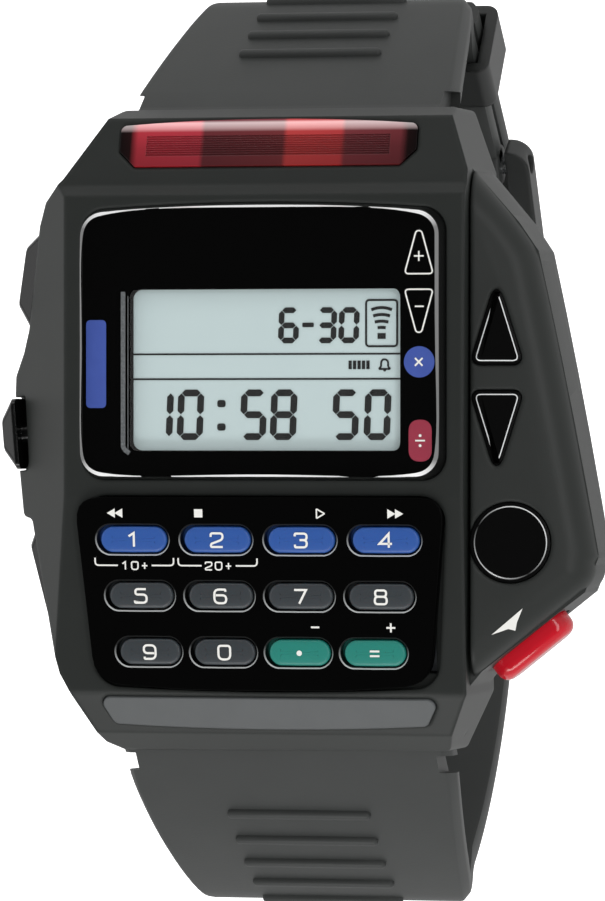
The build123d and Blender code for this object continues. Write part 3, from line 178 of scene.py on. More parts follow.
def relief(material, grain, height, rounding=0.0, stretch=(1, 1, 1)):
    """Surface grain of a real width and height, and edges rounded to a radius, in mm."""
    tree = material.node_tree
    place = add_node(tree, "Mapping", {
        "Vector": add_node(tree, "TexCoord").outputs["Object"], "Scale": stretch})
    noise = add_node(tree, "TexNoise", {
        "Vector": place.outputs["Vector"], "Scale": 1 / (grain * MM), "Detail": 2.0})
    bump = add_node(tree, "Bump", {
        "Height": noise.outputs["Fac"], "Strength": 1.0, "Distance": height * MM})
    if rounding:
        edge = add_node(tree, "Bevel", {"Radius": rounding * MM}, samples=6)
        tree.links.new(edge.outputs["Normal"], bump.inputs["Normal"])
    tree.links.new(bump.outputs["Normal"], tree.nodes["Principled BSDF"].inputs["Normal"])


def mottle(material, light, dark, patch):
    """Slight drift of colour over patches of a real size in mm."""
    tree = material.node_tree
    place = add_node(tree, "TexCoord").outputs["Object"]
    noise = add_node(tree, "TexNoise", {"Vector": place, "Scale": 1 / (patch * MM), "Detail": 4.0})
    drift = mix_colours(tree, noise.outputs["Fac"], tint(dark), tint(light))
    tree.links.new(drift, tree.nodes["Principled BSDF"].inputs["Base Color"])


def new_material(name, colour, roughness, grain=None, drift=None, parts=(), **sockets):
    """Principled material. Grain is what relief takes, drift is what mottle takes, parts
    are the CAD nodes that wear it, and sockets have underscores for spaces."""
    material = bpy.data.materials.new(name)
    material.use_nodes = True
    shader = material.node_tree.nodes["Principled BSDF"]
    shader.inputs["Base Color"].default_value = tint(colour)
    shader.inputs["Roughness"].default_value = roughness
    for key, value in sockets.items():
        shader.inputs[key.replace("_", " ")].default_value = value
    if drift:
        mottle(material, *drift)
    if grain:
        relief(material, *grain)
    for part in parts:
        for socket in nodes[part].material_slots:
            socket.material = material
    return material


def shift(mesh, verts, x, y, z):
    """Moves some corners of a mesh."""
    bmesh.ops.translate(mesh, verts=verts, vec=(x, y, z))


def to_data(name, mesh):
    """Mesh data with what a bmesh holds, which is emptied."""
    data = bpy.data.meshes.new(name)
    mesh.to_mesh(data)
    mesh.clear()
    return data


# Matt paper that shows white to the camera, low enough for the strap to swing open
floor_reach, opened_drop = 1500.0, 32.0
floor_paper = new_material("studio_paper", "#e6e6e6", 0.9, Emission_Color=(1, 1, 1, 1))
paper = floor_paper.node_tree
paper.links.new(
    add_node(paper, "LightPath").outputs["Is Camera Ray"],
    paper.nodes["Principled BSDF"].inputs["Emission Strength"])
floor_mesh = bmesh.new()
bmesh.ops.create_grid(floor_mesh, x_segments=1, y_segments=1, size=floor_reach * MM)
shift(floor_mesh, floor_mesh.verts, 0, 0, cad_box[0].z - opened_drop * MM)
floor_data = to_data("floor", floor_mesh)
floor_data.materials.append(floor_paper)
floor = add_object("floor", floor_data)

# Case back, its gasket and screws
# A pressed plate of stainless steel, brushed in one direction, held down by four
# cross-slot screws on a black nitrile gasket.

# Stainless steel, brushed along the watch: long fine scratches, soft metal gloss
new_material(
    "brushed_stainless_steel", "#b9b9b6", 0.32, (0.12, 0.004, 0.1, (1, 0.03, 1)),
    parts=["case_back", "case_back_screws"], Metallic=1.0)
# Nitrile rubber: flat black, faintly dusty
new_material(
    "moulded_nitrile_rubber", "#161616", 0.75, (0.1, 0.004),
    parts=["case_back_gasket", "pusher_seals", "display_gasket"])

# Case body and the wing cover's resin
# Both are injection-moulded in a charcoal resin and spark-eroded to a fine satin;
# the wing cover is a second moulding, snapped on along the dark seam.

# ABS and nylon resin: charcoal, soft highlight, edges rubbed a little smoother
case_resin = new_material(
    "moulded_charcoal_resin", "#282b29", 0.45, (0.09, 0.006, 0.45), ("#2a2d2b", "#262927", 3.0),
    ["case_body", "wing_cover"], IOR=1.45)

# Module in the sealed room
# Cradle, coin cell, circuit board and its parts, which only a service opens to view.

# Glass-filled nylon: slate grey, matt
new_material(
    "moulded_module_nylon", "#3f4244", 0.6, (0.15, 0.005, 0.1),
    parts=["battery_cradle", "module_frame"])
# Nickel-plated steel of the cell's can: bright and smooth
new_material(
    "nickel_plated_steel", "#c9c7c0", 0.25, (0.3, 0.004, 0.15), parts=["battery", "quartz_can"],
    Metallic=1.0)
# Phosphor bronze: warm metal, pressed thin
new_material(
    "pressed_phosphor_bronze", "#c79a55", 0.3, (0.2, 0.003),
    parts=["battery_clip", "battery_contact", "contact_leaves"], Metallic=1.0)
# Solder mask over glass epoxy: deep green, half gloss
new_material(
    "solder_masked_board", "#1f5a34", 0.4, (0.4, 0.01), ("#24663b", "#1b4f2e", 1.2),
    ["circuit_board", "ir_diode_board"])
# Moulded epoxy of the chip and the receiver: matt black
new_material(
    "moulded_chip_epoxy", "#1a1b1c", 0.55, (0.08, 0.004, 0.05),
    parts=["controller_chip", "ir_receiver"])
# Carbon-loaded silicone: dark grey rubber of the zebra strips and the key mats
new_material(
    "moulded_silicone", "#54585c", 0.6, (0.12, 0.004, 0.08),
    parts=["zebra_connectors", "keypad_mat", "wing_key_mat"])
# Clear epoxy lenses of the diodes
new_material(
    "cast_diode_epoxy", "#7a4048", 0.12, (0.5, 0.002), parts=["ir_diodes"],
    Transmission_Weight=0.5)

# Liquid crystal display with its reflector and figures
# Two glass sheets with polarisers over a silvered film. The lit segments darken the
# crystal between the sheets, so they are drawn flat on the upper one.

# Polarised glass over silver: pale green-grey, even, half gloss
new_material(
    "polarised_display_glass", "#c6d8d8", 0.35, (0.4, 0.001), ("#cadbdb", "#c2d4d5", 6.0),
    ["lcd_panel"], Specular_IOR_Level=0.3)
# Silvered film: bright and even
new_material(
    "silvered_film", "#d8dad8", 0.3, (0.2, 0.002), parts=["lcd_reflector"], Metallic=1.0)


class Face:
    """Flat face with its own x and y in millimetres, for prints and keys."""

    def __init__(self, origin, normal=(0, 0, 1), x_dir=(1, 0, 0)):
        self.origin = Vector(origin)
        self.normal = Vector(normal).normalized()
        self.x_dir = Vector(x_dir).normalized()
        self.y_dir = self.normal.cross(self.x_dir)

    def matrix(self):
        turn = Matrix((self.x_dir, self.y_dir, self.normal)).transposed().to_4x4()
        return Matrix.Scale(MM, 4) @ Matrix.Translation(self.origin) @ turn

    def lifted(self, height):
        return Face(self.origin + self.normal * height, self.normal, self.x_dir)


def finish_piece(name, mesh, material, body, crease=35):
    """Writes a bmesh as a piece that rides on a body, smooth up to a crease angle."""
    bmesh.ops.recalc_face_normals(mesh, faces=mesh.faces)
    data = to_data(name, mesh)
    data.shade_smooth()
    data.set_sharp_from_angle(angle=radians(crease))
    data.materials.append(material)
    piece = add_object(name, data)
    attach(piece, body)
    return piece


def thicken(mesh, film):
    """Raises all that a flat mesh holds by a film."""
    lifted = bmesh.ops.extrude_face_region(mesh, geom=list(mesh.faces))["geom"]
    shift(mesh, [item for item in lifted if isinstance(item, bmesh.types.BMVert)], 0, 0, film)


def print_shapes(name, outlines, face, material, body, film=0.02):
    """Thin film of ink on a face; an outline is a loop of places in millimetres."""
    mesh = bmesh.new()
    for index, outline in enumerate(outlines):
        # Lines that cross lie a hair apart, so that none shades another
        layer = index % 4 * film / 8
        mesh.faces.new([mesh.verts.new((*place, layer)) for place in outline])
    bmesh.ops.recalc_face_normals(mesh, faces=mesh.faces)
    thicken(mesh, film)
    mesh.transform(face.matrix())
    finish_piece(name, mesh, material, body)


def arc(x, y, radius, start, end, steps=8):
    """Places along an arc, its angles in degrees from the right, counter-clockwise."""
    angles = [radians(start + (end - start) * step / steps) for step in range(steps + 1)]
    return [(x + radius * cos(angle), y + radius * sin(angle)) for angle in angles]


def block(x, y, width, height):
    """Rectangle round a middle."""
    half, tall = width / 2, height / 2
    return [(x - half, y - tall), (x + half, y - tall), (x + half, y + tall), (x - half, y + tall)]


def curve(start, pull, end, steps):
    """Places along a curve that is pulled towards a third place."""
    places = []
    for step in range(steps + 1):
        t = step / steps
        place = start * (1 - t) ** 2 + pull * 2 * t * (1 - t) + end * t ** 2
        places.append((place.x, place.y))
    return places


def rounded(corners, radius, closed=True, steps=5):
    """Loop or path through corners, each rounded by a curve of a radius."""
    places = []
    for index, corner in enumerate(corners):
        if not closed and index in (0, len(corners) - 1):
            places.append(corner)
            continue
        point = Vector(corner)
        before = Vector(corners[index - 1]) - point
        after = Vector(corners[(index + 1) % len(corners)]) - point
        reach = min(radius, before.length / 2, after.length / 2)
        start = point + before.normalized() * reach
        end = point + after.normalized() * reach
        places += curve(start, point, end, steps)
    # Neighbouring curves that meet share a place, which is kept once
    return [place for index, place in enumerate(places)
            if not (index or closed) or (Vector(place) - Vector(places[index - 1])).length > 0.001]


def stroke(path, width):
    """Outline of a line of one width along a path, mitred where it turns."""
    runs = [(Vector(b) - Vector(a)).normalized() for a, b in zip(path, path[1:])]
    left, right = [], []
    for (x, y), run, next_run in zip(path, runs[:1] + runs, runs + runs[-1:]):
        side = Vector((-run.y - next_run.y, run.x + next_run.x))
        side *= width / side.length_squared
        left.append((x + side.x, y + side.y))
        right.append((x - side.x, y - side.y))
    return left + right[::-1]


def ring(loop, width):
    """Closed line of one width, drawn as short strokes."""
    return [stroke([a, b], width) for a, b in zip(loop, loop[1:] + loop[:1])]


# Segments are lettered from the top clockwise, with g in the middle
figure_segments = {
    "0": "abcdef", "1": "bc", "3": "abgcd", "5": "afgcd", "6": "afgcde", "8": "abcdefg",
}
figure_lean = 0.04
segment_gap = 0.035


def display_figure(figure, left, base, width, height, line):
    """Outlines of one figure's lit segments, each pointed at both ends."""
    heights = base + line / 2, base + height / 2, base + height - line / 2
    left_low, left_middle, left_high = ((left + line / 2, y) for y in heights)
    right_low, right_middle, right_high = ((left + width - line / 2, y) for y in heights)
    ends = {
        "a": (left_high, right_high), "b": (right_high, right_middle),
        "c": (right_middle, right_low), "d": (left_low, right_low),
        "e": (left_middle, left_low), "f": (left_high, left_middle),
        "g": (left_middle, right_middle),
    }
    outlines = []
    for segment in figure_segments[figure]:
        start, end = (Vector(place) for place in ends[segment])
        run = (end - start).normalized()
        side = Vector((-run.y, run.x)) * line / 2
        start, end = start + run * segment_gap, end - run * segment_gap
        tip = run * line / 2
        loop = [start, start + tip + side, end - tip + side, end, end - tip - side,
                start + tip - side]
        outlines.append([(p.x + figure_lean * (p.y - base), p.y) for p in loop])
    return outlines


# Time row: three pairs of figures and a colon
time_base, time_height, figure_width, figure_line = -0.58, 3.66, 1.95, 0.49
lit_marks = []
for pair, start_x, pitch in (("10", -8.85, 2.28), ("58", -1.85, 2.25), ("50", 5.02, 2.36)):
    for index, figure in enumerate(pair):
        lit_marks += display_figure(
            figure, start_x + pitch * index, time_base, figure_width, time_height, figure_line)
for colon_y in (0.36, 2.06):
    lit_marks.append(rounded(block(-3.2, colon_y, 0.62, 0.52), 0.2))
# Date row: smaller figures and a dash
date_base, date_height, small_width, small_line = 6.42, 2.6, 1.52, 0.41
for figure, start_x in (("6", 1.02), ("3", 3.82), ("0", 5.5)):
    lit_marks += display_figure(
        figure, start_x, date_base, small_width, date_height, small_line)
lit_marks.append(rounded(block(3.27, 7.75, 0.85, 0.33), 0.1))
# Lines between the rows
display_middle, display_width = 0.16, 20.15
for line_y in (3.84, 5.65):
    lit_marks.append(block(display_middle, line_y, display_width, 0.13))
# Signal mark: a frame with arcs that narrow to a dot
signal_x, arc_radius = 8.73, 1.9
lit_marks += ring(rounded(block(signal_x, 7.86, 2.3, 3.34), 0.25), 0.15)
for arc_y, half_width in ((8.98, 0.76), (8.48, 0.62), (8.0, 0.5), (7.55, 0.3)):
    half_turn = degrees(asin(half_width / arc_radius))
    lit_marks.append(stroke(
        arc(signal_x, arc_y - arc_radius, arc_radius, 90 - half_turn, 90 + half_turn), 0.22))
lit_marks.append(block(signal_x, 6.93, 0.6, 0.42))
# Charge bars and the alarm's bell
for index in range(5):
    lit_marks.append(block(6.4 + 0.33 * index, 4.85, 0.24, 0.62))
bell_x, bell_y = 8.95, 4.85
bell = (
    [(bell_x - 0.42, bell_y - 0.3), (bell_x - 0.26, bell_y - 0.12)]
    + arc(bell_x, bell_y + 0.14, 0.26, 180, 0)
    + [(bell_x + 0.26, bell_y - 0.12), (bell_x + 0.42, bell_y - 0.3)]
)
lit_marks += ring(bell, 0.14)
lit_marks.append(arc(bell_x, bell_y - 0.38, 0.11, 0, 330))
# Darkened liquid crystal: near-black, no gloss of its own
lit_segment = new_material(
    "darkened_liquid_crystal", "#050808", 0.6, (0.3, 0.001), Specular_IOR_Level=0.1)
print_gap = 0.02
lcd_face = Face((0, 0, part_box("lcd_panel")[1].z / MM + print_gap))
print_shapes("lcd_marks", lit_marks, lcd_face, lit_segment, "case")

# Printed border under the crystal
# Black ink on the crystal's underside, open over the display. Triangles for plus and
# minus, fields for times and divide, and a blue label field are printed on it.

# Screen ink on glass: deep black, half gloss
border_ink = new_material(
    "screen_printed_black", "#040404", 0.5, (0.3, 0.001), parts=["display_mask"],
    Specular_IOR_Level=0.0)
glass_low, glass_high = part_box("display_glass")
glass_foot = glass_low.z / MM
glass_half = glass_high.x / MM
glass_end = glass_low.y / MM
border_edge, border_film = 0.12, 0.02
border_half = glass_half - border_edge
bow_middle, bow_corner = 16.5, 15.98
border_corners = [
    (-border_half, glass_end + border_edge), (border_half, glass_end + border_edge),
    (border_half, bow_corner), (5.0, bow_middle), (-5.0, bow_middle), (-border_half, bow_corner),
]
window_corners = [(-9.93, -1.4), (10.24, -1.4), (10.24, 10.38), (-9.93, 10.38)]
border_radius, window_radius = 1.7, 0.7
border_mesh = bmesh.new()
for corners, radius in ((border_corners, border_radius), (window_corners, window_radius)):
    loop = [border_mesh.verts.new((*place, 0)) for place in rounded(corners, radius)]
    for a, b in zip(loop, loop[1:] + loop[:1]):
        border_mesh.edges.new((a, b))
bmesh.ops.triangle_fill(border_mesh, use_beauty=True, edges=border_mesh.edges)
thicken(border_mesh, border_film)
glass_face = Face((0, 0, glass_foot))
border_mesh.transform(glass_face.lifted(print_gap).matrix())
finish_piece("crystal_border", border_mesh, border_ink, "case")
# Screen inks of the marks and fields: flat white, blue and wine red
white_ink = new_material("screen_printed_white", "#f4f3ee", 0.5, (0.15, 0.001))
blue_ink = new_material(
    "screen_printed_blue", "#3852a8", 0.45, drift=("#3c57ae", "#344da0", 1.0))
red_ink = new_material("screen_printed_red", "#9a2640", 0.45, drift=("#a22943", "#91233c", 1.0))
ink_face = glass_face.lifted(2 * print_gap + border_film)
mark_x, mark_line, sign_length = 11.62, 0.11, 0.72
plus_base, minus_top, triangle_reach, triangle_half = 11.4, 10.28, 3.1, 1.06
triangle_blunt, triangle_radius = 0.2, 0.32
white_marks = [
    block(mark_x, 12.68, sign_length, mark_line), block(mark_x, 12.68, mark_line, sign_length),
    block(mark_x + 0.04, 9.05, 0.66, mark_line),
]
for base, reach in ((plus_base, triangle_reach), (minus_top, -triangle_reach)):
    white_marks += ring(rounded([
        (mark_x - triangle_half, base), (mark_x + triangle_half, base),
        (mark_x + triangle_blunt, base + reach), (mark_x - triangle_blunt, base + reach),
    ], triangle_radius), mark_line)
print_shapes("border_white_marks", white_marks, ink_face, white_ink, "case")
times_y, divide_x, divide_y = 5.05, mark_x + 0.1, -0.62
for name, field, ink, slot_name in (
        ("times_field", arc(mark_x + 0.03, times_y, 1.13, 0, 350, 35), blue_ink, "key_blue"),
        ("divide_field", rounded(block(divide_x, divide_y, 1.7, 3.02), 0.85, steps=8), red_ink,
         "red_gloss"),
        ("label_field", rounded(block(-12.46, 4.95, 1.5, 6.4), 0.35), blue_ink, "key_blue")):
    print_shapes(name, [field], ink_face, ink, "case")
sign_face = glass_face.lifted(4 * print_gap + border_film)
arm, arm_line, dot_radius, dot_rise = 0.28, 0.13, 0.11, 0.36
field_signs = [
    stroke([(mark_x - arm, times_y - arm), (mark_x + arm, times_y + arm)], arm_line),
    stroke([(mark_x - arm, times_y + arm), (mark_x + arm, times_y - arm)], arm_line),
    block(divide_x, divide_y, sign_length, 0.12),
    arc(divide_x, divide_y + dot_rise, dot_radius, 0, 330),
    arc(divide_x, divide_y - dot_rise, dot_radius, 0, 330),
]
print_shapes("border_field_signs", field_signs, sign_face, white_ink, "case")
# Wall of the display's opening, seen at the left through the glass: grainy black moulding, drawn
# as a flat print on the glass in a grey that paints the light on it
painted_lit_wall = new_material(
    "opening_wall_painted_light", "#4a4d4b", 0.6, (0.12, 0.01), ("#83878a", "#1c1e1d", 0.12))
wall_path = rounded([(-10.43, 10.2), (-10.43, -1.2), (-9.95, -1.55)], 0.5, closed=False)
print_shapes("opening_wall", [stroke(wall_path, 0.34)], ink_face, painted_lit_wall, "case")
print_shapes("opening_wall_edge", [block(-10.06, 4.3, 0.06, 11.2)], ink_face, painted_lit_wall, "case")

# Crystal
# A pressed mineral glass with a bowed top edge. A thin white highlight is painted along
# the top of its ground bevel, brightest at twelve and six o'clock.

# From this cosine on, a surface counts as lying flat in a face
flat_from = 0.93


def lean_to(tree, direction):
    """Cosine between the surface's normal and a direction."""
    normal = add_node(tree, "TexCoord").outputs["Normal"]
    return add_node(
        tree, "VectorMath", {0: normal, 1: direction}, operation="DOT_PRODUCT").outputs["Value"]


def rim_mask(tree, normal, low):
    """One where the surface leans away from a face by a bevel's slope, else nought."""
    lean = lean_to(tree, normal)
    above = combine(tree, "GREATER_THAN", lean, low)
    return combine(tree, "MULTIPLY", above, combine(tree, "LESS_THAN", lean, flat_from))


def facing(tree, direction):
    """How far the surface faces a direction or its opposite."""
    return combine(tree, "ABSOLUTE", lean_to(tree, direction))


# Mineral glass: clear, its top polished; the ground sides look black over the border ink,
# and light for what lies below passes straight through; a white highlight is painted on
# the bevel's top edge, brighter where it faces twelve and six o'clock
crystal_glass = new_material(
    "pressed_mineral_glass", "#ffffff", 0.01, parts=["display_glass"], IOR=1.5)
highlight_line = 0.2
glass = crystal_glass.node_tree
glass_shader = glass.nodes["Principled BSDF"]
polished = combine(glass, "GREATER_THAN", facing(glass, (0, 0, 1)), flat_from)
# Painted highlight: the top edge of the bevel is coloured white
highlight_bevel = rim_mask(glass, (0, 0, 1), 0.4)
highlight_toward_ends = remap(glass, facing(glass, (0, 1, 0)), 0.2, 0.6, 0.22, 1.0)
highlight_upper_band = combine(
    glass, "GREATER_THAN", coordinate(glass, "Object", "Z"), glass_high.z - highlight_line * MM)
painted_highlight_share = combine(glass, "MULTIPLY", highlight_bevel, highlight_toward_ends)
painted_highlight_level = combine(glass, "MULTIPLY", painted_highlight_share, highlight_upper_band)
sides_and_painted_highlight = mix_colours(glass, painted_highlight_level, tint("#050505"), tint("#ffffff"))
glass_colour = mix_colours(glass, polished, sides_and_painted_highlight, tint("#ffffff"))
glass.links.new(glass_colour, glass_shader.inputs["Base Color"])
glass.links.new(polished, glass_shader.inputs["Transmission Weight"])
glass_rays = add_node(glass, "LightPath").outputs
from_below = combine(
    glass, "ADD", glass_rays["Is Shadow Ray"], glass_rays["Is Diffuse Ray"], clamp=True)
pass_light = add_node(glass, "MixShader", {
    0: from_below, 1: glass_shader.outputs["BSDF"],
    2: add_node(glass, "BsdfTransparent").outputs["BSDF"]})
glass.links.new(
    pass_light.outputs["Shader"], glass.nodes["Material Output"].inputs["Surface"])

# Keypad panel and its printed marks
# A moulded plate of gloss black acrylic. Its holes have bevelled rims with a white
# highlight painted on them, and the transport signs and range brackets are printed on it.
panel_slope = radians(6.41)
panel_normal = (0, -sin(panel_slope), cos(panel_slope))
panel_face = Face((0, -18.5, 10.46), panel_normal)
panel_depth, panel_lip, panel_radius = 1.0, 0.04, 1.9
panel_rim_step, panel_rim_lift = 0.04, 0.08
panel_corners = [
    (-12.85, 0.25), (-6.0, -0.28), (6.0, -0.28), (12.2, 0.25), (13.55, 13.83), (-14.05, 13.83)]
hole_wider, hole_higher, hole_shift, hole_bevel = 0.3, 0.1, -0.1, 0.09
key_rows = [
    (10.75, 6.27, 5.13, ["key_1", "key_2", "key_3", "key_4"]),
    (6.64, 5.97, 4.95, ["key_5", "key_6", "key_7", "key_8"]),
    (2.52, 5.6, 4.71, ["key_9", "key_0", "key_point", "key_equals"]),
]
key_height, key_shift = 2.08, -0.2
key_places = [
    (name, (column - 1.5) * pitch + key_shift, row_y, width)
    for row_y, pitch, width, names in key_rows for column, name in enumerate(names)]


def stadium(mesh, width, height, segments=40):
    """Round-ended face of a real width and height."""
    made = bmesh.ops.create_circle(mesh, cap_ends=True, radius=height / 2, segments=segments)
    for vert in made["verts"]:
        if abs(vert.co.x) > height / 100:
            vert.co.x += copysign((width - height) / 2, vert.co.x)
    return made["verts"][0].link_faces[0]


def raise_face(mesh, face, height):
    """Extrudes a face along z and returns its new end; a lone face stays as the foot."""
    enclosed = len(face.edges[0].link_faces) > 1
    made = bmesh.ops.extrude_face_region(mesh, geom=[face])["geom"]
    top = [item for item in made if isinstance(item, bmesh.types.BMFace)][0]
    if enclosed:
        mesh.faces.remove(face)
    bmesh.ops.translate(mesh, verts=top.verts, vec=(0, 0, height))
    return top


def narrow(mesh, face, step, lift):
    """Steps a face inwards and lifts it, which leaves a sloping rim round it."""
    bmesh.ops.inset_region(mesh, faces=[face], thickness=step, use_even_offset=True)
    shift(mesh, face.verts, 0, 0, lift)


def carve(mesh, cutter):
    """Takes one bmesh's solids out of another."""
    pieces = []
    for part in (mesh, cutter):
        bmesh.ops.recalc_face_normals(part, faces=part.faces)
        pieces.append(add_object("carving", to_data("carving", part)))
    cut = pieces[0].modifiers.new("cut", "BOOLEAN")
    cut.operation = "DIFFERENCE"
    cut.solver = "EXACT"
    cut.object = pieces[1]
    shown = pieces[0].evaluated_get(bpy.context.evaluated_depsgraph_get())
    mesh.from_mesh(bpy.data.meshes.new_from_object(shown))
    for piece in pieces:
        bpy.data.objects.remove(piece)


def absorb(mesh, part):
    """Adds another bmesh's shapes to this one."""
    data = to_data("part", part)
    mesh.from_mesh(data)
    bpy.data.meshes.remove(data)


def paint_rim_highlight(material, normal, colour, share=None):
    """Paints a highlight on the bevels round a face, fully or by a share."""
    tree = material.node_tree
    base = tree.nodes["Principled BSDF"].inputs["Base Color"]
    level = rim_mask(tree, normal, 0.5)
    if share:
        level = combine(tree, "MULTIPLY", level, share)
    tree.links.new(mix_colours(tree, level, base.default_value[:], tint(colour)), base)


# Polished acrylic: black with a sharp sheen; a grey-white highlight is painted on its narrow
# bevels, strongest where they face twelve o'clock
acrylic = new_material(
    "polished_black_acrylic", "#050505", 0.16, (0.6, 0.001), Specular_IOR_Level=0.2)
# Painted highlight, faded where the bevels face away from twelve o'clock
highlight_toward_top = coordinate(acrylic.node_tree, "Normal", "Y")
paint_rim_highlight(
    acrylic, panel_normal, "#c9cccc", remap(acrylic.node_tree, highlight_toward_top, -0.4, 0.5, 0.03, 1.0))
panel_mesh = bmesh.new()
outline = [panel_mesh.verts.new((*place, -panel_depth))
           for place in rounded(panel_corners, panel_radius)]
top = raise_face(
    panel_mesh, panel_mesh.faces.new(outline), panel_depth + panel_lip - panel_rim_lift)
narrow(panel_mesh, top, panel_rim_step, panel_rim_lift)
holes = bmesh.new()
for _, x, row_y, width in key_places:
    hole = bmesh.new()
    mouth = stadium(hole, width + hole_wider, key_height + hole_higher)
    shift(hole, mouth.verts, x + hole_shift, row_y, -2 * panel_depth)
    mouth = raise_face(hole, mouth, 2 * panel_depth + panel_lip - hole_bevel)
    narrow(hole, mouth, -hole_bevel, hole_bevel)
    raise_face(hole, mouth, panel_depth)
    absorb(holes, hole)
carve(panel_mesh, holes)
panel_mesh.transform(panel_face.matrix())
panel_plate = finish_piece("keypad_plate", panel_mesh, acrylic, "case")
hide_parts("keypad_panel")
print_face = panel_face.lifted(panel_lip + 0.005)
sign_y, sign_half, sign_reach = 12.69, 0.34, 0.6


def play_sign(x, reach):
    """Triangle that points along x by a reach."""
    return [(x, sign_y - sign_half), (x + reach, sign_y), (x, sign_y + sign_half)]


panel_marks = [
    play_sign(-10.97, -sign_reach), play_sign(-10.4, -sign_reach), play_sign(9.37, sign_reach),
    play_sign(9.94, sign_reach), block(-4.7, sign_y, 0.62, 0.6), block(3.8, 4.4, 0.62, 0.13),
    block(9.42, 4.4, 0.66, 0.13), block(9.42, 4.4, 0.13, 0.66),
]
panel_marks += ring(play_sign(4.12, sign_reach), 0.1)
bracket_y, bracket_rise, bracket_radius, bracket_line = 8.86, 0.55, 0.35, 0.11
for low_x, high_x, gap_low, gap_high in (
        (-12.55, -6.65, -10.85, -8.3), (-6.3, -0.4, -4.55, -2.0)):
    for end_x, gap_x in ((low_x, gap_low), (high_x, gap_high)):
        bracket = [(end_x, bracket_y + bracket_rise), (end_x, bracket_y), (gap_x, bracket_y)]
        panel_marks.append(stroke(rounded(bracket, bracket_radius, closed=False), bracket_line))
# Strokes of the plain figures, in a square one unit wide and high
figure_strokes = {
    "0": [[(0.5, 1), (1, 1), (1, 0), (0, 0), (0, 1), (0.5, 1)]],
    "1": [[(0.12, 0.76), (0.56, 1), (0.56, 0)]],
    "2": [[(0, 0.74), (0, 1), (1, 1), (1, 0.55), (0, 0.22), (0, 0), (1, 0)]],
    "3": [[(0, 0.8), (0, 1), (1, 1), (1, 0.53), (0.4, 0.53)],
          [(0.4, 0.53), (1, 0.53), (1, 0), (0, 0), (0, 0.2)]],
    "4": [[(0.78, 0), (0.78, 1), (0, 0.28), (1.05, 0.28)]],
    "5": [[(0.95, 1), (0.06, 1), (0.04, 0.6), (1, 0.6), (1, 0), (0, 0), (0, 0.17)]],
    "6": [[(0.94, 0.84), (0.94, 1), (0, 1), (0, 0), (1, 0), (1, 0.58), (0.12, 0.58)]],
    "7": [[(0, 1), (1, 1), (0.4, 0)]],
    "8": [[(0.5, 1), (0.96, 1), (0.96, 0.54), (0.04, 0.54), (0.04, 1), (0.5, 1)],
          [(0.5, 0), (1, 0), (1, 0.54), (0, 0.54), (0, 0), (0.5, 0)]],
    "9": [[(0.06, 0.16), (0.06, 0), (1, 0), (1, 1), (0, 1), (0, 0.42), (0.88, 0.42)]],
    "+": [[(0.5, 0.08), (0.5, 0.92)], [(0.08, 0.5), (0.92, 0.5)]],
    "=": [[(0, 0.7), (1, 0.7)], [(0, 0.3), (1, 0.3)]],
}
figure_bend, sharp_figures = 0.32, "147"


def plain_figure(sign, x, y, width, height, line):
    """Strokes of a printed figure round a middle."""
    paths = []
    for path in figure_strokes[sign]:
        places = [(x + (u - 0.5) * (width - line), y + (v - 0.5) * (height - line))
                  for u, v in path]
        if sign not in sharp_figures:
            places = rounded(places, figure_bend * height, closed=False)
        paths.append(stroke(places, line))
    return paths


word_pitch = 0.74
for middle_x, words in ((-9.57, "10+"), (-3.28, "20+")):
    for index, sign in enumerate(words):
        panel_marks += plain_figure(
            sign, middle_x + word_pitch * (index - 1), bracket_y - 0.02, 0.58, 0.66, 0.1)
print_shapes("panel_marks", panel_marks, print_face, white_ink, "case")

# Keypad keys
# Each is a satin cap of tinted polycarbonate, crowned a little and rounded at its rim,
# with a flange below the panel that a silicone mat pushes up.
flange_grow, flange_depth, flange_clear = 0.35, 0.5, 0.05
cap_proud, cap_margin, cap_round = 0.12, 0.1, 0.16
# Steps inwards and upwards, from the rim to the middle of the crown
crown_steps = ((0.04, 0.08), (0.08, 0.05), (0.14, 0.03), (0.25, 0.03), (0.3, 0.015))


def key_cap(mesh, width, height):
    """Flange, shaft and crowned cap, with the panel's face at z 0."""
    flange = stadium(mesh, width + 2 * flange_grow, height + 2 * flange_grow)
    shift(mesh, flange.verts, 0, 0, -panel_depth - flange_depth - flange_clear)
    flange = raise_face(mesh, flange, flange_depth)
    narrow(mesh, flange, flange_grow + cap_margin, 0)
    cap = raise_face(mesh, flange, panel_depth + flange_clear + cap_proud - cap_round)
    for step, lift in crown_steps:
        narrow(mesh, cap, step, lift)


# Polycarbonate: translucent body tint, satin face, faint milky depth
key_blue, key_grey, key_teal = (
    new_material(f"satin_{name}_polycarbonate", code, 0.36, (0.1, 0.003), Subsurface_Weight=0.1,
                 Subsurface_Scale=0.0006)
    for name, code in (("blue", "#2d5aa8"), ("grey", "#3c4145"), ("teal", "#23877a")))
key_finishes = {name: (key_blue, "key_blue") for name in key_rows[0][3]}
key_finishes |= {name: (key_teal, "key_teal") for name in ("key_point", "key_equals")}
figure_size, equals_size, point_radius = (1.04, 1.16, 0.16), (0.85, 1.0, 0.14), 0.2
figure_face = panel_face.lifted(cap_proud + 0.06)
for name, x, row_y, width in key_places:
    finish, finish_slot = key_finishes.get(name, (key_grey, "key_grey"))
    cap_mesh = bmesh.new()
    key_cap(cap_mesh, width, key_height)
    shift(cap_mesh, cap_mesh.verts, x, row_y, 0)
    cap_mesh.transform(panel_face.matrix())
    cap = finish_piece(f"cap_{name}", cap_mesh, finish, f"{name}_cap")
    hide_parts(name)
    if name == "key_point":
        marks = [arc(x, row_y, point_radius, 0, 345, 16)]
    elif name == "key_equals":
        marks = plain_figure("=", x, row_y, *equals_size)
    else:
        marks = plain_figure(name[-1], x, row_y, *figure_size)
    print_shapes(f"figure_{name}", marks, figure_face, white_ink, f"{name}_cap")
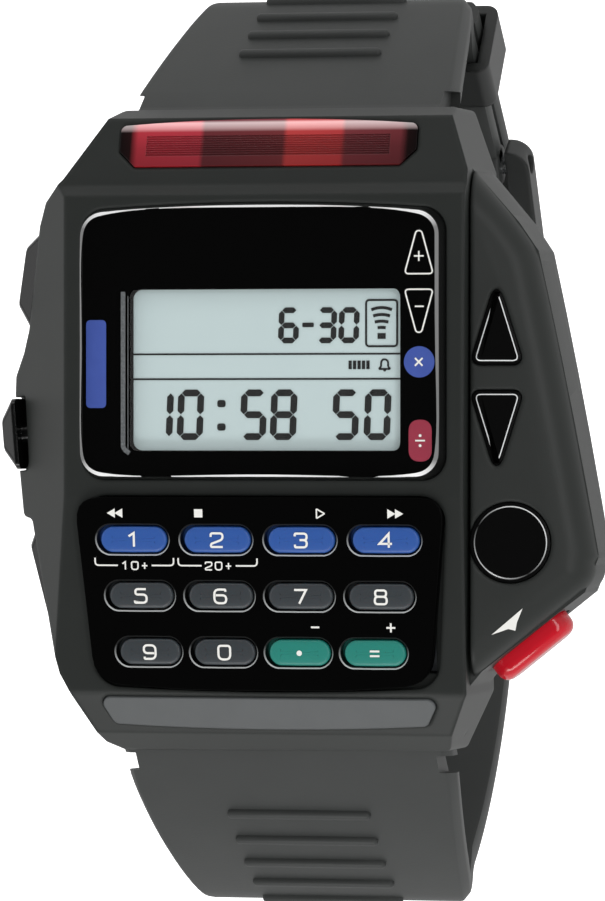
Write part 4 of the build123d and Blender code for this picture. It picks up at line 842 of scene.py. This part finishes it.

# Infrared window
# A domed, grooved lens of dark red polycarbonate at twelve o'clock. Two bright blocks
# show where the diodes' wells lie behind it; their brightness is painted light, as are a
# bright line along its lower edge, a lightening towards its top and a highlight band near
# the top.

# Dyed polycarbonate: wine red, sharp gloss
lens_red = new_material(
    "moulded_infrared_lens", "#7a2c31", 0.14, (0.5, 0.002, 0.08), parts=["ir_window"],
    Coat_Weight=0.5, Coat_Roughness=0.05)
lens = lens_red.node_tree
lens_low, lens_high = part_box("ir_window")
along_lens = remap(lens, coordinate(lens, "Object", "X"), lens_low.x, lens_high.x)
across_lens = remap(lens, coordinate(lens, "Object", "Y"), lens_low.y, lens_high.y)


def colour_bands(tree, value, bands):
    """Colour ramp from shares and hex colours."""
    ramp = add_node(tree, "ValToRGB", {"Fac": value})
    elements = ramp.color_ramp.elements
    for share, code in bands[2:]:
        elements.new(share)
    for element, (share, code) in zip(sorted(elements, key=lambda e: e.position), bands):
        element.position = share
        element.color = tint(code)
    return ramp.outputs["Color"]


# Colour along the lens: bright blocks over the diodes' wells, painted light from behind the lens,
# dark red between and near-black at both ends
wells_with_painted_light = colour_bands(lens, along_lens, [
    (0.0, "#100506"), (0.035, "#240a0c"), (0.06, "#c83c4a"), (0.27, "#c83f4e"),
    (0.285, "#74343a"), (0.55, "#80383c"), (0.565, "#d04a4a"), (0.745, "#c84446"),
    (0.76, "#823a40"), (0.945, "#78343a"), (0.97, "#1c0809"), (1.0, "#100506")])
# Painted shading across the lens: a bright line along its lower edge, then lighter towards its top
painted_shading_across_lens = colour_bands(lens, across_lens, [
    (0.0, "#ff9a90"), (0.07, "#ff9088"), (0.12, "#b4acac"), (0.45, "#c8c0c0"),
    (0.72, "#e8e0e0"), (1.0, "#ffffff")])
tinted_lens = mix_colours(lens, 1.0, wells_with_painted_light, painted_shading_across_lens, "MULTIPLY")
# Painted highlight: a pale band near the top of the lens
painted_highlight_band = colour_bands(lens, across_lens, [
    (0.0, "#000000"), (0.76, "#000000"), (0.82, "#a89898"), (0.93, "#e4dcdc"),
    (0.975, "#483038"), (1.0, "#201014")])
lens_colour = mix_colours(lens, 0.85, tinted_lens, painted_highlight_band, "ADD")
lens.links.new(lens_colour, lens.nodes["Principled BSDF"].inputs["Base Color"])

# Trim strip at six o'clock
# A separate satin moulding, a shade lighter than the case.
new_material(
    "moulded_satin_trim", "#505354", 0.42, (0.12, 0.005, 0.12), ("#545758", "#4d5051", 2.0),
    ["lower_trim"])

# Wing cover and its arrow mark
# The cover is moulded in the case's resin with a soft roll along its outer edge,
# and is snapped over the wing's block.
wing_tilt = radians(14)
wing_normal = (sin(wing_tilt), 0, cos(wing_tilt))
wing_x, wing_height = 15.0, 10.2
wing_face = Face((wing_x, 0, wing_height), wing_normal, (cos(wing_tilt), 0, -sin(wing_tilt)))
wing_roll, wing_skirt, roll_rings = 1.9, 2.6, 8
bulge_start, bulge_middle, bulge_end = (
    Vector(place) for place in ((19.56, 13.1), (21.56, 3.41), (23.8, -9.0)))
bulge = curve(
    bulge_start, bulge_middle * 2 - (bulge_start + bulge_end) / 2, bulge_end, 12)
wing_inner = wing_x + 0.12
wing_outline = (
    [(wing_inner, -17.68), (wing_inner, 18.9)]
    + rounded([(wing_inner, 18.9), (18.18, 15.19), bulge[0], bulge[1]], 1.0, closed=False)[1:]
    + bulge[2:] + arc(21.48, -9.78, 2.1, 8, -50.7)
)


def inset_loop(loop, distance):
    """Clockwise loop moved inwards by a distance, but for its first edge, which stays."""
    runs = [(Vector(b) - Vector(a)).normalized() for a, b in zip(loop, loop[1:] + loop[:1])]
    moved = []
    for index, (x, y) in enumerate(loop):
        before, after = runs[index - 1], runs[index]
        turn = before.cross(after)
        step_before = 0 if index == 1 else distance
        step_after = 0 if index == 0 else distance
        step = (before * step_after - after * step_before) / turn
        moved.append((x + step.x, y + step.y))
    return moved


wing_mesh = bmesh.new()
ring_verts = [wing_mesh.verts.new((*place, wing_skirt)) for place in wing_outline]
wing_mesh.faces.new(ring_verts)
for index in range(roll_rings):
    angle = pi / 2 * index / (roll_rings - 1)
    level = wing_height - wing_roll * (1 - sin(angle))
    places = inset_loop(wing_outline, wing_roll * (1 - cos(angle)))
    next_verts = [wing_mesh.verts.new((x, y, level - (x - wing_x) * tan(wing_tilt)))
                  for x, y in places]
    for step in range(len(ring_verts)):
        wing_mesh.faces.new([
            ring_verts[step - 1], ring_verts[step], next_verts[step], next_verts[step - 1]])
    ring_verts = next_verts
wing_mesh.faces.new(ring_verts)
arrow = [(1.63, -14.62), (2.84, -14.2), (3.35, -14.32), (3.46, -13.74), (3.87, -12.71)]
print_shapes("wing_arrow", [arrow], wing_face.lifted(0.02), white_ink, "case")

# Wing keys
# Two triangles and a round key of gloss black ABS stand in the cover's recesses. Each
# has a collar that fills its recess and a white highlight painted round its top edge.
triangle_half_base, triangle_tall, triangle_tip, triangle_corner = 1.66, 5.8, 1.5, 0.5
round_radius = 2.57
skirt_grow, skirt_foot, skirt_height, skirt_step, shaft_height = 0.2, -2.05, 0.5, 0.24, 1.45
collar_grow, collar_foot, collar_height = 0.34, -0.09, 0.07
# Steps inwards and upwards, from the collar's edge to the key's top
collar_steps = ((0.04, 0.08), (0.18, 0.02), (0.05, 0.12), (0.08, 0.05))
recess_grow, recess_foot, recess_height = 0.4, -2.5, 4.0
# Place across and along the wing, and which way a triangle points
wing_keys = {
    "volume_up_key": (1.95, 8.08, 1), "volume_down_key": (1.95, -0.22, -1),
    "source_key": (2.9, -7.97, 0),
}


def round_off(mesh, items, offset, segments, affect="EDGES"):
    """Rounds off edges or corners."""
    bmesh.ops.bevel(
        mesh, geom=items, offset=offset, offset_type="OFFSET", segments=segments, profile=0.5,
        affect=affect, material=-1)


def key_blank(name, grow):
    """Rounded triangle or circle of a wing key, larger all round by an amount."""
    mesh = bmesh.new()
    inset_x, key_y, side = wing_keys[name]
    if side:
        corners = bmesh.ops.create_circle(mesh, cap_ends=True, radius=1.0, segments=3)["verts"]
        half, tall = triangle_half_base + grow, triangle_tall + 2 * grow
        bmesh.ops.scale(mesh, verts=corners, vec=(half / sin(pi / 3), tall / 1.5, 1))
        shift(mesh, corners, 0, -tall / 6, 0)
        tip = max(corners, key=lambda corner: corner.co.y)
        others = [corner for corner in corners if corner is not tip]
        for ends, reach in (([tip], triangle_tip), (others, triangle_corner)):
            round_off(mesh, ends, reach + grow, 7, "VERTICES")
        bmesh.ops.scale(mesh, verts=mesh.verts, vec=(1, side, 1))
    else:
        bmesh.ops.create_circle(mesh, cap_ends=True, radius=round_radius + grow, segments=64)
    bmesh.ops.recalc_face_normals(mesh, faces=mesh.faces)
    shift(mesh, mesh.verts, inset_x / cos(wing_tilt), key_y, 0)
    mesh.faces.ensure_lookup_table()
    if mesh.faces[0].normal.z < 0:
        mesh.faces[0].normal_flip()
    return mesh, mesh.faces[0]


# Polished ABS: piano black; a thin painted highlight round each top edge
key_gloss = new_material("polished_black_abs", "#060606", 0.14, Coat_Weight=0.2)
paint_rim_highlight(key_gloss, wing_normal, "#e8eaea")
round_gloss = new_material("polished_round_key_abs", "#060606", 0.14, Coat_Weight=0.2)
# Painted highlight on the round key's edge, strongest on two opposite sides
paint_rim_highlight(
    round_gloss, wing_normal, "#e8eaea", facing(round_gloss.node_tree, (1.2, 1.2, 0)))
recesses = bmesh.new()
for name, (_, _, side) in wing_keys.items():
    key_mesh, face = key_blank(name, skirt_grow)
    shift(key_mesh, face.verts, 0, 0, skirt_foot)
    face = raise_face(key_mesh, face, skirt_height)
    narrow(key_mesh, face, skirt_step, 0)
    raise_face(key_mesh, face, shaft_height)
    collar, face = key_blank(name, collar_grow)
    shift(collar, face.verts, 0, 0, collar_foot)
    face = raise_face(collar, face, collar_height)
    for step, lift in collar_steps:
        narrow(collar, face, step, lift)
    absorb(key_mesh, collar)
    key_mesh.transform(wing_face.matrix())
    wing_key = finish_piece(
        f"{name}_moulding", key_mesh, key_gloss if side else round_gloss, f"{name}_cap",
        20)
    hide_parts(name)
    recess, face = key_blank(name, recess_grow)
    shift(recess, face.verts, 0, 0, recess_foot)
    raise_face(recess, face, recess_height)
    absorb(recesses, recess)
recesses.transform(Matrix.Scale(1 / MM, 4) @ wing_face.matrix())
carve(wing_mesh, recesses)
wing_mesh.transform(Matrix.Scale(MM, 4))
wing_moulding = finish_piece("wing_moulding", wing_mesh, case_resin, "case", 30)
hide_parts("wing_cover")

# Side pushers
# Three gloss black pushers at the left and a rounded red one at the wing's foot, each
# on a stem with a rubber seal and a spring clip.

# Polished ABS: black, and a clear signal red with a little depth
new_material(
    "polished_pusher_abs", "#0d0e0e", 0.2, (0.6, 0.001, 0.2),
    parts=["set_pusher", "select_pusher", "mode_pusher"], Coat_Weight=0.3)
pusher_red = new_material(
    "polished_red_abs", "#d01226", 0.18, (0.6, 0.001), ("#d6152a", "#c91022", 1.5),
    Coat_Weight=0.4, Subsurface_Weight=0.08, Subsurface_Scale=0.0008)
power_angle = radians(-51.3)
power_face = Face(
    (18.35, -15.1, 4.9), (cos(power_angle), sin(power_angle), 0),
    (-sin(power_angle), cos(power_angle), 0))
power_length, power_tall, power_foot, power_height, power_round = 6.8, 3.1, -0.3, 1.5, 0.85
power_mesh = bmesh.new()
cap_face = stadium(power_mesh, power_length, power_tall)
shift(power_mesh, cap_face.verts, 0, 0, power_foot)
cap_face = raise_face(power_mesh, cap_face, power_height - power_foot)
round_off(power_mesh, list(cap_face.edges), power_round, 7)
# Stem, then the neck that the clip sits on, then its end
stem_radius, neck_radius, stem_start, stem_end, clip_width = 0.7, 0.5, -0.2, -12.5, 0.3
neck_start, neck_end = stem_end + 2 * clip_width, stem_end + clip_width
for radius, start, end in (
        (stem_radius, stem_start, neck_start), (neck_radius, neck_start, neck_end),
        (stem_radius, neck_end, stem_end)):
    stem = bmesh.new()
    bmesh.ops.create_cone(
        stem, cap_ends=True, segments=32, radius1=radius, radius2=radius, depth=start - end,
        matrix=Matrix.Translation((0, 0, (start + end) / 2)))
    absorb(power_mesh, stem)
power_mesh.transform(power_face.matrix())
power_cap = finish_piece(
    "power_pusher_moulding", power_mesh, pusher_red, "power_button")
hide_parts("power_pusher")
# Spring steel of the clips and bars: bright, fine-drawn
new_material(
    "spring_steel", "#a8aaac", 0.25, (0.15, 0.003, 0.05), parts=[
        "set_stem_clip", "select_stem_clip", "mode_stem_clip", "power_stem_clip",
        "upper_spring_bar", "lower_spring_bar", "buckle_pin"], Metallic=1.0)

# Strap halves
# Each is one moulding of soft polyurethane resin with eased edges, raised ribs near
# the case and a round barrel on its spring bar.

# Polyurethane resin: charcoal, matt, faintly grained
strap_resin = new_material(
    "moulded_strap_resin", "#3a3c3b", 0.52, (0.16, 0.008), ("#3d3f3e", "#373938", 4.0),
    IOR=1.45)
section_half = 12.4
# Right side of the section, out from the middle line and away from the wrist: the
# outer layer is set in from the edge
section_points = [
    (-0.4, -1.15), (-0.12, -1.08), (0, -0.82), (0, 0.25), (-0.06, 0.47), (-0.5, 1.02),
    (-0.62, 1.12), (-0.85, 1.15),
]
# Half widths of the strap at heights, both in mm
width_stations = [(-60, 9.5), (-17, 9.5), (-8.8, 10.9), (2, 12.4), (60, 12.4)]


def strap_half_at(z):
    """Half width of the strap at a height."""
    for (low, half_low), (high, half_high) in zip(width_stations, width_stations[1:]):
        if z <= high:
            return half_low + (half_high - half_low) * (z - low) / (high - low)


def out_of(y, z, heading, turn, distance):
    """Place at a distance, in a direction turned from a heading."""
    angle = radians(heading + turn)
    return y + distance * cos(angle), z + distance * sin(angle)


def advance(y, z, heading, reach, turn, part=1):
    """Place and heading after a part of an arc or a straight."""
    if not turn:
        return *out_of(y, z, heading, 0, reach * part), heading
    bend = copysign(90, turn)
    centre = out_of(y, z, heading, bend, reach)
    heading += turn * part
    return *out_of(*centre, heading, -bend, reach), heading


def new_edges(made):
    """Edges at the end of what was drawn out."""
    return [item for item in made if isinstance(item, bmesh.types.BMEdge)
            and len(item.link_faces) == 1]


def lay_band(mesh, y, z, heading, outward, runs):
    """Draws the strap's section along arcs (radius, turn) and straights (length, 0)."""
    side = [(section_half + x, v) for x, v in section_points]
    loop = side + [(-x, v) for x, v in side[::-1]]
    first = mesh.faces.new(
        [mesh.verts.new((x, *out_of(y, z, heading, outward, v))) for x, v in loop])
    ring_edges = list(first.edges)
    for reach, turn in runs:
        if turn:
            steps = max(6, int(reach * radians(abs(turn)) / 1.2), int(abs(turn) / 5))
            centre = out_of(y, z, heading, copysign(90, turn), reach)
            ring_edges = new_edges(bmesh.ops.spin(
                mesh, geom=ring_edges, cent=(0, *centre), axis=(1, 0, 0), dvec=(0, 0, 0),
                angle=radians(turn), steps=steps, use_merge=False,
                use_duplicate=False)["geom_last"])
        else:
            steps = max(1, int(reach / 0.8))
            for step in range(steps):
                ring_edges = new_edges(
                    bmesh.ops.extrude_edge_only(mesh, edges=ring_edges)["geom"])
                verts = list({vert for edge in ring_edges for vert in edge.verts})
                shift(mesh, verts, 0, *out_of(0, 0, heading, 0, reach / steps))
        y, z, heading = advance(y, z, heading, reach, turn)
    bmesh.ops.edgeloop_fill(mesh, edges=ring_edges)
    for vert in mesh.verts:
        vert.co.x -= copysign(section_half - strap_half_at(vert.co.z), vert.co.x)


def station_at(y, z, heading, runs, distance):
    """Place and heading at a distance along a path."""
    for reach, turn in runs:
        length = reach * radians(abs(turn)) if turn else reach
        part = min(distance / length, 1)
        y, z, heading = advance(y, z, heading, reach, turn, part)
        if part < 1:
            break
        distance -= length
    return y, z, heading


def strap_face(station, outward, lift):
    """Face on the strap's outside, its x across the strap."""
    y, z, heading = station
    angle = radians(heading + outward)
    return Face((0, *out_of(y, z, heading, outward, lift)), (0, cos(angle), sin(angle)))


def add_rod(mesh, y, z, radius, width, ease):
    """Round bar across the strap with eased ends."""
    rod = bmesh.new()
    bmesh.ops.create_cone(
        rod, cap_ends=True, segments=48, radius1=radius, radius2=radius, depth=width,
        matrix=Matrix.Translation((0, y, z)) @ Matrix.Rotation(pi / 2, 4, "Y"))
    ends = [face for face in rod.faces if len(face.verts) > 4]
    round_off(rod, [edge for face in ends for edge in face.edges], ease, 3)
    absorb(mesh, rod)


rib_length, rib_width, rib_foot, rib_height, rib_pitch, rib_round = 10.9, 0.8, 1.0, 0.6, 3.1, 0.304


def add_rib(mesh, station, outward):
    """Raised rib with a rounded top."""
    rib = bmesh.new()
    top = raise_face(rib, stadium(rib, rib_length, rib_width, 16), rib_height)
    round_off(rib, list(top.edges), rib_round, 3)
    rib.transform(Matrix.Scale(1 / MM, 4) @ strap_face(station, outward, rib_foot).matrix())
    absorb(mesh, rib)


def add_cube(mesh, x, y, z, width, length, depth):
    """Block round a middle, for cutting."""
    made = bmesh.ops.create_cube(mesh, size=1)["verts"]
    bmesh.ops.scale(mesh, verts=made, vec=(width, length, depth))
    shift(mesh, made, x, y, z)


bar_radius, bar_width, bar_ease = 2.1, 24.1, 0.3
pin_radius, pin_width, pin_ease = 1.6, 19.0, 0.25
slot_width, slot_reach = 2.5, 8.8
notch_x, notch_z, notch_width, notch_length, notch_depth = 12.1, 4.0, 1.5, 1.3, 9.0


def add_notches(mesh, y):
    """Blocks that notch both shoulders of the strap."""
    for side in (-1, 1):
        add_cube(mesh, side * notch_x, y, notch_z, notch_width, notch_length, notch_depth)


def furnish(mesh, bar_y, bar_z, path, outward, runs, first_rib, ribs):
    """Adds a half's barrel and its ribs, and takes it from millimetres to metres."""
    add_rod(mesh, bar_y, bar_z, bar_radius, bar_width, bar_ease)
    for index in range(ribs):
        add_rib(mesh, station_at(*path, runs, first_rib + rib_pitch * index), outward)
    mesh.transform(Matrix.Scale(MM, 4))


# A path's start and heading, and its arcs (radius, turn) and straights (length, 0)
upper_path = (22.3876, 3.7312, -56.0)
upper_runs = [(130.0, -7.6), (5.0, -66.4), (14.5, 0)]
pin_y, pin_z = (middle / MM for middle in (sum(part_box("buckle_pin"), Vector()) / 2).yz)
upper_mesh, pin_barrel = bmesh.new(), bmesh.new()
lay_band(upper_mesh, *upper_path, 90, upper_runs)
add_rod(pin_barrel, pin_y, pin_z, pin_radius, pin_width, pin_ease)
# The slot for the tang runs through the band's end and the barrel
for part in (upper_mesh, pin_barrel):
    cuts = bmesh.new()
    add_cube(cuts, 0, pin_y, pin_z, slot_width, slot_reach, slot_reach)
    if part is upper_mesh:
        add_notches(cuts, 24.35)
    carve(part, cuts)
absorb(upper_mesh, pin_barrel)
furnish(upper_mesh, 21.6, 3.2, upper_path, 90, upper_runs, 8.9, 4)
upper_half = finish_piece(
    "upper_strap_moulding", upper_mesh, strap_resin, "upper_strap_half", 40)
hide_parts("upper_strap")
lower_path = (-22.1849, 4.3486, -142.0)
lower_runs = [
    (40.0, 26.5), (6.0, 52.5), (34.05, 63.0), (93.3515, 10.0), (6.5128, 0), (6.0, 40.0),
    (14.1, 0),
]
lower_mesh, cuts = bmesh.new(), bmesh.new()
lay_band(lower_mesh, *lower_path, -90, lower_runs)
add_notches(cuts, -24.3)
carve(lower_mesh, cuts)
furnish(lower_mesh, -21.6, 3.6, lower_path, -90, lower_runs, 7.1, 5)
lower_half = finish_piece(
    "lower_strap_moulding", lower_mesh, strap_resin, "lower_strap_half", 40)
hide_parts("lower_strap")

# Buckle, tang and keeper
# The frame and keeper are moulded resin, the tang is black-coated steel on a steel pin.

# Polyamide resin: near-black, soft gloss, edges worn round
new_material(
    "moulded_buckle_resin", "#272928", 0.4, (0.14, 0.006, 0.4), ("#2a2c2b", "#242625", 3.0),
    ["buckle_frame", "strap_keeper"])
# Black-coated steel: dark metal, half gloss
new_material(
    "black_coated_steel", "#2a2c2e", 0.3, (0.2, 0.002, 0.15), parts=["buckle_tang"],
    Metallic=0.6)
